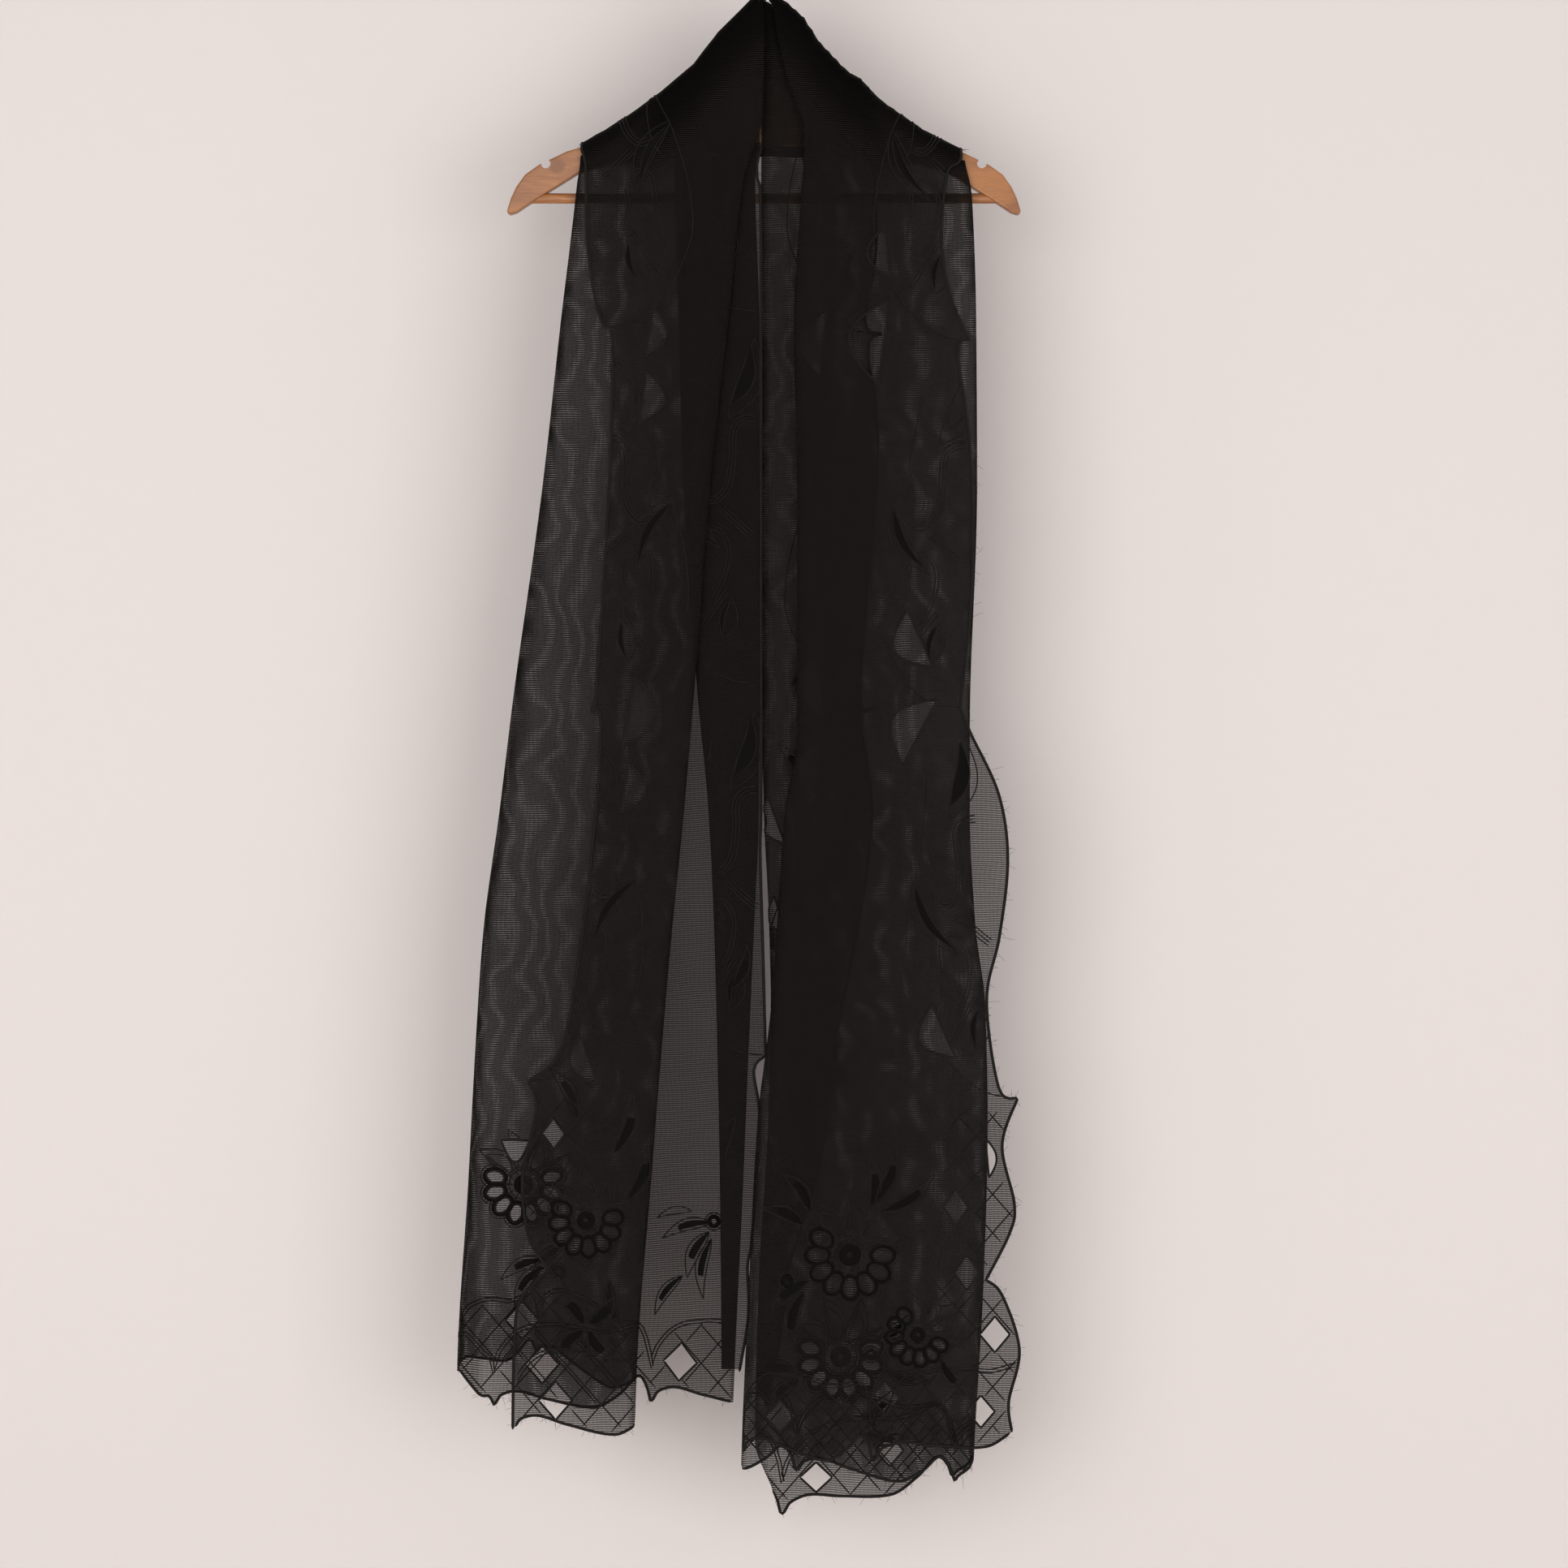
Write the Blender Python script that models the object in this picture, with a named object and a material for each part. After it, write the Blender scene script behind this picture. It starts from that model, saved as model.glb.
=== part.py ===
"""A sheer dupatta folded lengthwise and laid round the neck of a wooden coat hanger.

The hook's inside top is the origin. +X is to the viewer's right, -Y is the front and +Z is up.
Tables are in millimetres: 'across' is X and 'drop' is the distance below the origin.
Each cloth stretch is drawn on a flat chart (across, drop), cut to its outline and its holes,
and then laid in its fold, over the hanger and round its fold edges.
"""
import math

import bmesh
import bpy
from mathutils import Vector
from mathutils.geometry import delaunay_2d_cdt

MM = 0.001

# Cloth
WALL = 1.0                # thickness of the cloth walls
SEAM_GAP = 0.3            # gap between two stretches where the cloth is parted
ROW_STEP = 45.0           # mesh spacing down the cloth
COLUMN_STEP = 36.0        # mesh spacing across the cloth
WAVE_HEIGHT = 1.4         # soft waves of the hanging layers
WAVE_LENGTH = 150.0
WAVE_START = 60.0         # the waves grow over this distance below the ridge
SCALLOP_DEPTH = 21.0      # from the lowest lobe of a hem to its notch
FULL_SCALLOP = 110.0      # a shorter stretch between two tips dips less

# Where the cloth lies over the hanger
FRONT_AT_RIDGE = 12.0     # the front layer's distance from the hanger's middle plane
BAND_OUTER = 9.6          # the two layers of the band behind the neck
BAND_INNER = 7.2
BAND_GAP = 0.8            # between the band and the round over the ridge, on a steep slope
BAND_LEFT = -155.0
BAND_RIGHT = 166.0
BAND_LOWER = 182.0        # drop of the band's lower fold at the hanger's middle
BAND_LOWER_MORE = 11.0    # how much lower it hangs near the shoulders
BAND_HALF = 160.0
BAND_INNER_START = 4.0    # its inner layer starts this far below the outer one
RIDGE_RADIUS = (FRONT_AT_RIDGE + BAND_OUTER) / 2
RIDGE_MIDDLE = (BAND_OUTER - FRONT_AT_RIDGE) / 2
RIDGE_STEPS = 6           # facets of the round over the ridge
HIDDEN_TOP = 1.5          # hidden layers stop this far below the ridge's round
INNER_TOP = 45.0          # the inner folds start this far below it
TURN_START = 30.0         # the fold edges turn fully this far below it

# Hanger
WOOD_THICK = 12.5
WOOD_BEVEL = 4.0
BAR_RADIUS = 4.5
BAR_DROP = 219.0
BAR_HALF = 205.0
NOTCH_RADIUS = 4.2
NOTCH_ACROSS = 188.0
NOTCH_DROP = 189.5
NOTCH_LONG = 40.0
SOCKET_LONG = 40.0
HOOK_WIRE = 1.9
HOOK_RADIUS = 17.0
STEM_BEND_DROP = 36.0

# drops where the fold edges have their points, closer together over the shoulders
FOLD_DROPS = [9.0 * k for k in range(4, 28)] + [243.0 + ROW_STEP * k for k in range(1, 26)]
SHOULDER_FALLS = (9.0, 22.0, 38.0, 58.0, 90.0)

# across, drop of the ridge where the cloth passes over the hanger
RIDGE = [
    (-160.0, 173.0), (-150.0, 166.7), (-137.0, 159.7), (-109.0, 141.6), (-87.0, 125.0),
    (-61.0, 103.2), (-41.0, 76.7), (-15.0, 50.9), (-3.0, 38.0), (0.0, 36.0), (3.5, 38.0),
    (21.6, 50.9), (35.6, 63.5), (48.8, 84.4), (74.0, 110.9), (83.0, 114.5), (101.0, 134.0),
    (138.0, 159.7), (172.0, 177.0),
]

# distance of each layer from the hanger's middle plane, by the fall below the ridge
LEFT_LAYERS = [
    {"fall": 0, "back": 7.2, "middle": 9.6, "front": 12.0},
    {"fall": 45, "back": 7.6, "middle": 19.1, "front": 22.3},
    {"fall": 250, "back": 8.5, "middle": 22.5, "front": 27.5},
    {"fall": 1150, "back": 10.0, "middle": 26.0, "front": 34.0},
]
RIGHT_LAYERS = [
    {"fall": 0, "inner": 7.4, "back": 7.2, "middle": 9.6, "front": 12.0},
    {"fall": 45, "inner": 7.4, "back": 10.6, "middle": 15.0, "front": 19.0},
    {"fall": 250, "inner": 8.0, "back": 12.0, "middle": 19.0, "front": 25.0},
    {"fall": 1150, "inner": 8.5, "back": 13.5, "middle": 23.5, "front": 32.0},
]

# where the folds lie, across, at each drop
LEFT_FOLDS = [
    {"drop": 30, "outer": -157.0, "front": -3.4, "pleat_left": -78.0, "pleat_right": -3.2},
    {"drop": 52, "outer": -157.0, "front": 0.5, "pleat_left": -78.0, "pleat_right": -3.2},
    {"drop": 150, "outer": -157.0, "front": -0.8, "pleat_left": -78.0, "pleat_right": -3.5},
    {"drop": 186, "outer": -159.1, "front": -11.2, "pleat_left": -77.2, "pleat_right": -3.7},
    {"drop": 203, "outer": -160.4, "front": -16.7, "pleat_left": -76.7, "pleat_right": -7.4},
    {"drop": 330, "outer": -175.0, "front": -30.7, "pleat_left": -73.2, "pleat_right": -3.8},
    {"drop": 469, "outer": -190.4, "front": -46.0, "pleat_left": -69.0, "pleat_right": -3.7},
    {"drop": 651, "outer": -215.5, "front": -60.0, "pleat_left": -56.5, "pleat_right": -3.6},
    {"drop": 748, "outer": -227.3, "front": -68.3, "pleat_left": -47.4, "pleat_right": -4.2},
    {"drop": 853, "outer": -241.3, "front": -78.8, "pleat_left": -42.5, "pleat_right": -8.5},
    {"drop": 958, "outer": -248.3, "front": -87.9, "pleat_left": -39.7, "pleat_right": -13.2},
    {"drop": 1062, "outer": -253.8, "front": -96.2, "pleat_left": -37.7, "pleat_right": -17.4},
    {"drop": 1229, "outer": -263.6, "front": -108.8, "pleat_left": -36.3, "pleat_right": -25.1},
    {"drop": 1300, "outer": -264.5, "front": -110.5, "pleat_left": -36.3, "pleat_right": -27.5},
]
RIGHT_FOLDS = [
    {"drop": 30, "boundary": 3.4, "outer": 168.0, "inner": -1.6},
    {"drop": 51, "boundary": 6.3, "outer": 168.0, "inner": -1.6},
    {"drop": 112, "boundary": 18.8, "outer": 168.0, "inner": -1.8},
    {"drop": 173, "boundary": 34.9, "outer": 172.0, "inner": -2.0},
    {"drop": 220, "boundary": 32.1, "outer": 179.2, "inner": -2.3},
    {"drop": 330, "boundary": 25.8, "outer": 182.7, "inner": -2.1},
    {"drop": 469, "boundary": 28.6, "outer": 183.4, "inner": -2.1},
    {"drop": 678, "boundary": 28.6, "outer": 177.1, "inner": -1.4},
    {"drop": 748, "boundary": 18.1, "outer": 177.1, "inner": 0.0},
    {"drop": 847, "boundary": 11.2, "outer": 182.0, "inner": 4.6},
    {"drop": 915, "boundary": 6.3, "outer": 190.4, "inner": 6.0},
    {"drop": 1017, "boundary": -5.6, "outer": 192.5, "inner": 3.6},
    {"drop": 1151, "boundary": -12.6, "outer": 189.0, "inner": -4.2},
    {"drop": 1289, "boundary": -18.8, "outer": 181.3, "inner": -7.7},
    {"drop": 1345, "boundary": -20.2, "outer": 179.2, "inner": 9.8},
]

# free edges: across, drop, and 1 where a leaf tip or a notch makes a corner
LEFT_OUTER_EDGE = [
    (-157.0, 178.0, 1), (-153.0, 196.0, 0), (-151.3, 260.1, 0), (-144.4, 308.9, 0),
    (-136.7, 333.3, 1), (-129.7, 347.3, 0), (-132.4, 469.3, 0), (-143.7, 647.1, 0),
    (-147.8, 659.0, 1), (-139.5, 671.5, 0), (-143.7, 748.3, 0), (-155.5, 852.9, 0),
    (-172.9, 950.5, 0), (-201.5, 979.1, 1), (-194.6, 1003.5, 0), (-206.4, 1059.3, 0),
    (-201.5, 1110.9, 0), (-184.1, 1140.2, 1), (-208.5, 1166.7, 0), (-213.4, 1205.0, 0),
    (-214.8, 1276.8, 1),
]
RIGHT_OUTER_EDGE = [
    (170.0, 185.0, 1), (167.5, 190.0, 0), (157.5, 201.0, 0), (152.7, 260.1, 0), (161.1, 308.9, 0),
    (177.1, 343.8, 1), (166.7, 355.0, 0), (177.5, 440.0, 0), (178.5, 553.0, 0),
    (168.8, 659.0, 1), (177.1, 680.6, 0), (201.5, 733.6, 0), (209.2, 789.4, 0),
    (202.2, 854.3, 0), (191.1, 910.0, 0), (201.5, 985.0, 0), (217.6, 993.7, 1),
    (204.3, 1034.2, 0), (214.8, 1084.4, 0), (210.6, 1109.5, 0), (190.4, 1149.2, 1),
    (204.3, 1162.5, 0), (219.0, 1209.2, 0), (209.9, 1253.8, 0), (212.7, 1279.6, 1),
]
LEFT_INNER_EDGE = [
    (-2.4, 173.0, 1), (-2.6, 181.0, 0), (-5.6, 190.0, 0), (-5.4, 206.0, 0), (-2.8, 222.0, 0),
    (-2.3, 345.0, 0), (-2.4, 540.0, 0), (-2.2, 735.0, 0),
    (-3.0, 785.0, 0), (-0.5, 873.8, 0),
    (1.6, 957.5, 1), (-8.4, 970.0, 0), (-3.5, 1010.0, 0), (-7.0, 1076.0, 0),
    (-11.2, 1124.8, 1), (-13.9, 1138.8, 0), (-13.2, 1180.6, 0), (-20.9, 1228.7, 1),
]
RIGHT_INNER_EDGE = [
    (93.4, 150.0, 1), (96.9, 260.1, 0), (87.2, 326.4, 0), (102.5, 336.8, 1), (90.0, 350.8, 0),
    (98.3, 441.4, 0), (83.0, 643.7, 0), (96.9, 656.2, 1), (84.4, 671.5, 0), (93.4, 748.3, 0),
    (83.0, 838.9, 0), (62.1, 950.5, 0), (73.2, 977.0, 1), (56.5, 992.3, 0), (48.1, 1055.1, 0),
    (21.6, 1138.8, 1), (18.8, 1166.7, 0), (9.8, 1222.5, 0), (1.5, 1262.0, 1),
]

# hems: across, drop of each scallop's tip; the scallops between them follow SCALLOP
HEMS = {
    "left_front": [(-214.8, 1276.8), (-78.8, 1279.6)],
    "left_middle": [(-264.6, 1228.0), (-232.2, 1258.0), (-96.2, 1255.2)],
    "left_back": [(-264.6, 1227.0), (-196.0, 1214.0), (-97.6, 1256.6), (38.4, 1254.5)],
    "right_front": [(-133.2, 1295.7), (-18.8, 1295.7), (93.4, 1304.0), (245.0, 1281.0)],
    "right_middle": [(-105.3, 1299.2), (27.9, 1314.5), (164.0, 1323.0), (183.0, 1304.0)],
    "right_back": [(-120.0, 1310.0), (15.3, 1353.6), (162.5, 1321.0), (183.0, 1302.0)],
    "right_inner": [(-120.0, 1262.0), (1.5, 1262.0), (140.0, 1262.0)],
}
SCALLOP = [
    {"part": 0.00, "rise": 0.00}, {"part": 0.05, "rise": 0.45}, {"part": 0.14, "rise": 0.60},
    {"part": 0.34, "rise": 0.26}, {"part": 0.64, "rise": -0.13}, {"part": 0.80, "rise": 0.39},
    {"part": 0.91, "rise": 1.00}, {"part": 0.97, "rise": 0.62}, {"part": 1.00, "rise": 0.00},
]

# cut-outs: panel, kind, across, drop, length, width, turn in degrees
CUTS = [
    ("left_front", "leaf", -98.0, 337.0, 44.0, 15.0, -80.0),
    ("left_front", "leaf", -103.5, 393.0, 45.0, 19.0, -82.0),
    ("left_front", "leaf", -116.0, 662.0, 62.0, 25.0, -80.0),
    ("left_front", "leaf", -119.0, 728.0, 44.0, 18.0, -82.0),
    ("left_front", "leaf", -150.0, 960.0, 46.0, 16.0, 70.0),
    ("left_front", "diamond", -178.0, 1252.0, 29.0, 33.0, 0.0),
    ("left_front", "flower", -152.0, 1098.0, 46.0, 13.0, 10.0),
    ("left_front", "diamond", -180.0, 1024.0, 20.0, 27.0, 0.0),
    ("left_middle", "diamond", -180.0, 1024.0, 20.0, 27.0, 0.0),
    ("left_middle", "leaf", -213.0, 1030.0, 25.0, 19.0, 0.0),
    ("left_middle", "flower", -206.0, 1068.0, 50.0, 15.0, 0.0),
    ("left_middle", "diamond", -190.0, 1222.0, 29.0, 33.0, 0.0),
    ("left_back", "diamond", -72.0, 1222.0, 29.0, 33.0, 4.0),
    ("left_back", "diamond", -208.0, 1186.0, 29.0, 33.0, 0.0),
    ("right_front", "leaf", 106.0, 268.0, 44.0, 17.0, 84.0),
    ("right_front", "leaf", 103.0, 345.0, 74.0, 30.0, 97.0),
    ("right_front", "leaf", 134.0, 600.0, 54.0, 24.0, 66.0),
    ("right_front", "leaf", 134.0, 680.0, 64.0, 26.0, 118.0),
    ("right_front", "leaf", 154.0, 936.0, 50.0, 22.0, 66.0),
    ("right_front", "flower", 74.0, 1128.0, 56.0, 16.0, 15.0),
    ("right_front", "flower", 132.0, 1196.0, 40.0, 11.0, 40.0),
    ("right_front", "leaf", 191.5, 1045.0, 34.0, 8.0, -95.0),
    ("right_front", "diamond", 164.5, 1087.0, 21.0, 32.0, 0.0),
    ("right_front", "diamond", 174.0, 1143.0, 21.0, 31.0, 0.0),
    ("right_front", "diamond", 104.0, 1250.0, 25.0, 29.0, 0.0),
    ("right_front", "diamond", 14.0, 1266.0, 25.0, 28.0, 0.0),
    ("right_front", "diamond", 198.0, 1196.0, 26.0, 31.0, 0.0),
    ("right_front", "diamond", 186.0, 1262.0, 24.0, 28.0, 0.0),
    ("right_middle", "flower", 66.0, 1216.0, 54.0, 16.0, 0.0),
    ("right_middle", "diamond", 108.0, 1296.0, 24.0, 28.0, 0.0),
    ("right_back", "diamond", 45.0, 1321.0, 28.0, 26.0, 0.0),
    ("right_back", "leaf", 11.0, 756.0, 44.0, 15.0, 70.0),
    ("right_back", "leaf", 14.0, 838.0, 36.0, 11.0, 74.0),
    ("right_inner", "leaf", 52.0, 345.0, 60.0, 22.0, 96.0),
    ("right_inner", "leaf", 50.0, 640.0, 60.0, 22.0, 82.0),
    ("right_inner", "leaf", 48.0, 712.0, 56.0, 20.0, 98.0),
]
PETALS = 8
PETAL_LONG = 0.52         # half length and half width of a petal hole, as shares of its size
PETAL_WIDE = 0.36
FLOWER_SPREAD = 210.0     # degrees that a flower's petal holes take up

# inner pleat: places across where it starts over the shoulder, its last rows, and its turns
PLEAT_SPAN = (-78.0, -5.5)
PLEAT_ROWS_END = 1190.0
PLEAT_LAST_ROWS = (1205.0, 1226.0)
PLEAT_TURN = 0.2          # share of each layer that a turn takes up

# wooden body: right half of its outline, across and drop, from the top middle round to the lower middle
HALF_BODY = [
    (0, 117), (22, 117.5), (50, 121), (78, 129), (105, 145), (137, 166), (153, 174), (170, 179),
    (194, 190.5), (206, 199), (213.5, 209.5), (218, 219), (221.8, 231), (219.6, 233.6), (213, 231.5),
    (198, 221.5), (161, 198.5), (110, 182), (60, 174), (0, 173),
]


def smooth_value(rows, key, name, at):
    """Value of a table's column at a place, with smooth slopes and no overshoot."""
    if at <= rows[0][key]:
        return rows[0][name]
    if at >= rows[-1][key]:
        return rows[-1][name]
    i = max(k for k in range(len(rows) - 1) if rows[k][key] <= at)

    def slope(k):
        if k <= 0 or k >= len(rows) - 1:
            return 0.0
        before = (rows[k][name] - rows[k - 1][name]) / (rows[k][key] - rows[k - 1][key])
        after = (rows[k + 1][name] - rows[k][name]) / (rows[k + 1][key] - rows[k][key])
        if before * after <= 0:
            return 0.0
        return 2 * before * after / (before + after)

    span = rows[i + 1][key] - rows[i][key]
    t = (at - rows[i][key]) / span
    start = rows[i][name]
    end = rows[i + 1][name]
    bend = slope(i) * span * t * (1 - t) ** 2 - slope(i + 1) * span * t * t * (1 - t)
    return start + (end - start) * t * t * (3 - 2 * t) + bend


def ridge_drop(across):
    """Drop of the cloth's top outline at a place across."""
    if across <= RIDGE[0][0]:
        return RIDGE[0][1]
    for (x0, d0), (x1, d1) in zip(RIDGE, RIDGE[1:]):
        if across <= x1:
            return d0 + (d1 - d0) * (across - x0) / (x1 - x0)
    return RIDGE[-1][1]


def ridge_base(across):
    """Drop where the round over the ridge starts."""
    return ridge_drop(across) + RIDGE_RADIUS


def catmull(a, b, c, d, t):
    """Point on a smooth curve from b to c."""
    return tuple(
        0.5 * (2 * q + (r - p) * t + (2 * p - 5 * q + 4 * r - s) * t * t
               + (3 * q - p - 3 * r + s) * t ** 3)
        for p, q, r, s in zip(a, b, c, d)
    )


def edge_curve(rows, step):
    """Smooth line through an edge's rows, with its corners kept."""
    points = []
    for i in range(len(rows) - 1):
        b = rows[i][:2]
        c = rows[i + 1][:2]
        a = b if rows[i][2] or i == 0 else rows[i - 1][:2]
        d = c if rows[i + 1][2] or i + 2 >= len(rows) else rows[i + 2][:2]
        count = max(1, round(math.dist(b, c) / step))
        points += [catmull(a, b, c, d, k / count) for k in range(count)]
    points.append(rows[-1][:2])
    return points


def hem_curve(tips, start, end, step):
    """Scalloped hem from one place across to another."""
    count = max(2, round(abs(end - start) / step))
    xs = [start + (end - start) * k / count for k in range(count + 1)]
    low, high = min(start, end), max(start, end)
    xs += [x for x, drop in tips if low + 1.5 < x < high - 1.5]
    xs.sort(reverse=end < start)
    kept = [xs[0]]
    for x in xs[1:]:
        near_tip = any(abs(x - tip) < 0.01 for tip, drop in tips)
        if abs(x - kept[-1]) > 2.0:
            kept.append(x)
        elif near_tip and len(kept) > 1:
            kept[-1] = x
    kept[-1] = end
    return [(x, hem_drop(tips, x)) for x in kept]


def hem_drop(tips, across):
    """Drop of a scalloped hem at a place across."""
    if across < tips[0][0]:
        return tips[0][1]
    for (x0, d0), (x1, d1) in zip(tips, tips[1:]):
        if x0 <= across <= x1:
            part = (across - x0) / (x1 - x0)
            depth = SCALLOP_DEPTH * min(1.0, (x1 - x0) / FULL_SCALLOP)
            return d0 + (d1 - d0) * part - depth * smooth_value(SCALLOP, "part", "rise", part)
    return tips[-1][1]


def leaf_cut(across, drop, length, width, turn):
    """Half-leaf hole: one straight side and one bowed side."""
    count = 4
    side = [
        (length * (k / count - 0.5), width * math.sin(math.pi * k / count))
        for k in range(count + 1)
    ]
    return turned(side, across, drop, turn)


def diamond_cut(across, drop, width, height, turn):
    """Diamond hole of the lattice."""
    corners = [(-width / 2, 0.0), (0.0, height / 2), (width / 2, 0.0), (0.0, -height / 2)]
    return turned(corners, across, drop, turn)


def petal_cuts(across, drop, spread, petal, turn):
    """Ring of round petal holes on the lower half of a flower."""
    cuts = []
    for k in range(PETALS):
        angle = math.radians(turn + FLOWER_SPREAD * k / (PETALS - 1) - 15)
        centre = (across + spread * 0.5 * math.cos(angle), drop + spread * 0.5 * math.sin(angle))
        ring = [
            (petal * PETAL_LONG * math.cos(math.tau * j / 6),
             petal * PETAL_WIDE * math.sin(math.tau * j / 6))
            for j in range(6)
        ]
        cuts.append(turned(ring, centre[0], centre[1], math.degrees(angle)))
    return cuts


def turned(points, across, drop, turn):
    """Points turned about their middle and set down on the chart."""
    c = math.cos(math.radians(turn))
    s = math.sin(math.radians(turn))
    return [(across + x * c - y * s, drop + x * s + y * c) for x, y in points]


def cuts_of(panel):
    """All hole outlines of a panel."""
    holes = []
    for name, kind, across, drop, length, width, turn in CUTS:
        if name != panel:
            continue
        if kind == "leaf":
            holes.append(leaf_cut(across, drop, length, width, turn))
        if kind == "diamond":
            holes.append(diamond_cut(across, drop, length, width, turn))
        if kind == "flower":
            holes += petal_cuts(across, drop, length, width, turn)
    return holes


def eased(value):
    """Smooth step from 0 to 1."""
    value = min(1.0, max(0.0, value))
    return value * value * (3 - 2 * value)


def wave(across, fall):
    """Soft waves that all layers share, forward of the hanger."""
    swing = math.sin(math.tau * across / WAVE_LENGTH + fall / 420)
    return -WAVE_HEIGHT * eased(fall / WAVE_START) * (1 + swing)


def layer_depth(layers, name, across, drop):
    """Distance of a layer from the hanger's middle plane."""
    fall = max(0.0, drop - ridge_base(across))
    return smooth_value(layers, "fall", name, fall)


class Stretch:
    """One stretch of cloth between two edges, each a fold or free."""

    def __init__(self, name, layers, folds, layer, left=None, right=None, wraps=False):
        self.name = name
        self.layers = layers
        self.folds = folds
        self.layer = layer
        self.left = left
        self.right = right
        self.wraps = wraps

    def turn(self, side, drop):
        """Fold line, radius and direction of the turn at a fold edge."""
        fold, neighbour = side
        line = smooth_value(self.folds, "drop", fold, drop)
        mine = layer_depth(self.layers, self.layer, line, drop)
        other = neighbour_depth(self, neighbour, line, drop)
        radius = max(0.4, (abs(mine - other) - SEAM_GAP) / 2)
        return line, radius, 1.0 if other < mine else -1.0

    def limit(self, side, drop):
        """Chart position of a fold edge, which turns fully once it is clear of the ridge."""
        line, radius, sign = self.turn(side, drop)
        share = eased((drop - ridge_base(line)) / TURN_START)
        beyond = (math.pi / 2 * share - 1) * radius
        return line - beyond if side is self.left else line + beyond

    def place(self, across, drop):
        """Point of the cloth's middle surface for a place on the chart."""
        x = across
        inward = 0.0
        for side, way in ((self.left, -1.0), (self.right, 1.0)):
            if side is None:
                continue
            line, radius, sign = self.turn(side, drop)
            start = line - way * radius
            past = way * (across - start)
            if past > 0:
                angle = past / radius
                x = start + way * radius * math.sin(angle)
                inward = sign * radius * (1 - math.cos(angle))
        depth = layer_depth(self.layers, self.layer, x, drop) - inward
        base = ridge_base(x)
        if drop >= base or not self.wraps:
            return Vector((x, -depth + wave(x, drop - base), -drop))
        angle = (base - drop) / RIDGE_RADIUS
        radius = RIDGE_RADIUS - (FRONT_AT_RIDGE - depth)
        return Vector((
            x,
            RIDGE_MIDDLE - radius * math.cos(angle),
            -base + radius * math.sin(angle),
        ))


def neighbour_depth(stretch, neighbour, across, drop):
    """Depth of the layer that a fold edge turns to."""
    if neighbour.startswith("pleat"):
        return pleat_depth(int(neighbour[-1]), across, drop)
    return layer_depth(stretch.layers, neighbour, across, drop)


def pleat_depth(number, across, drop):
    """Depth of one of the inner pleat's four layers, spread between back and middle."""
    back = layer_depth(LEFT_LAYERS, "back", across, drop)
    middle = layer_depth(LEFT_LAYERS, "middle", across, drop)
    return back + (middle - back) * number / 5


class Pleat:
    """The inner pleat: four narrow layers in a zigzag, ending in the free inner edge."""

    def row(self, drop):
        """Fold lines, layer depths and turn radii at a drop."""
        left = smooth_value(LEFT_FOLDS, "drop", "pleat_left", drop)
        right = smooth_value(LEFT_FOLDS, "drop", "pleat_right", drop)
        back = layer_depth(LEFT_LAYERS, "back", right, drop)
        first = (pleat_depth(1, right, drop) - back - SEAM_GAP) / 2
        at_left = (pleat_depth(2, left, drop) - pleat_depth(1, left, drop)) / 2
        at_right = (pleat_depth(3, right, drop) - pleat_depth(2, right, drop)) / 2
        return left, right, first, at_left, at_right

    def place(self, along, drop):
        """Point for a chart place: 'along' counts layers, 0 to 4, from the seam."""
        left, right, first, at_left, at_right = self.row(drop)
        layer = min(3, int(along))
        part = along - layer
        forward = layer % 2 == 1
        x_in = right if not forward else left
        x_out = left if not forward else right
        r_in = (first, at_left, at_right, at_left)[layer]
        radius = (at_left, at_right, at_left, 0.0)[layer]
        way = -1.0 if not forward else 1.0
        start = x_in + way * r_in
        if layer == 3:
            end = free_edge_at(LEFT_INNER_EDGE, drop)
        else:
            end = x_out - way * radius
        if part < PLEAT_TURN:
            angle = (1 - part / PLEAT_TURN) * math.pi / 2
            x = start - way * r_in * math.sin(angle)
            y = pleat_depth(layer + 1, x, drop) - r_in * (1 - math.cos(angle))
        elif part > 1 - PLEAT_TURN and layer < 3:
            angle = (part - 1 + PLEAT_TURN) / PLEAT_TURN * math.pi / 2
            x = end + way * radius * math.sin(angle)
            y = pleat_depth(layer + 1, x, drop) + radius * (1 - math.cos(angle))
        else:
            last = 1.0 if layer == 3 else 1 - PLEAT_TURN
            x = start + (end - start) * (part - PLEAT_TURN) / (last - PLEAT_TURN)
            y = pleat_depth(layer + 1, x, drop)
        return Vector((x, -y + wave(x, drop - ridge_base(x)), -drop))


def free_edge_at(rows, drop):
    """Place across of a free edge at a drop."""
    points = edge_curve(rows, 8.0)
    for (x0, d0), (x1, d1) in zip(points, points[1:]):
        if min(d0, d1) <= drop <= max(d0, d1) and d0 != d1:
            return x0 + (x1 - x0) * (drop - d0) / (d1 - d0)
    return points[0][0] if drop < points[0][1] else points[-1][0]


def inside(point, outline):
    """Whether a chart point is inside a closed outline."""
    x, y = point
    hit = False
    for (x0, y0), (x1, y1) in zip(outline, outline[1:] + outline[:1]):
        if (y0 > y) != (y1 > y) and x < x0 + (x1 - x0) * (y - y0) / (y1 - y0):
            hit = not hit
    return hit


def distance(point, outline):
    """Distance of a chart point from a closed outline."""
    best = math.inf
    for a, b in zip(outline, outline[1:] + outline[:1]):
        dx = b[0] - a[0]
        dy = b[1] - a[1]
        span = dx * dx + dy * dy
        t = 0.0 if span == 0 else ((point[0] - a[0]) * dx + (point[1] - a[1]) * dy) / span
        t = min(1.0, max(0.0, t))
        best = min(best, math.hypot(point[0] - a[0] - t * dx, point[1] - a[1] - t * dy))
    return best


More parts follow.
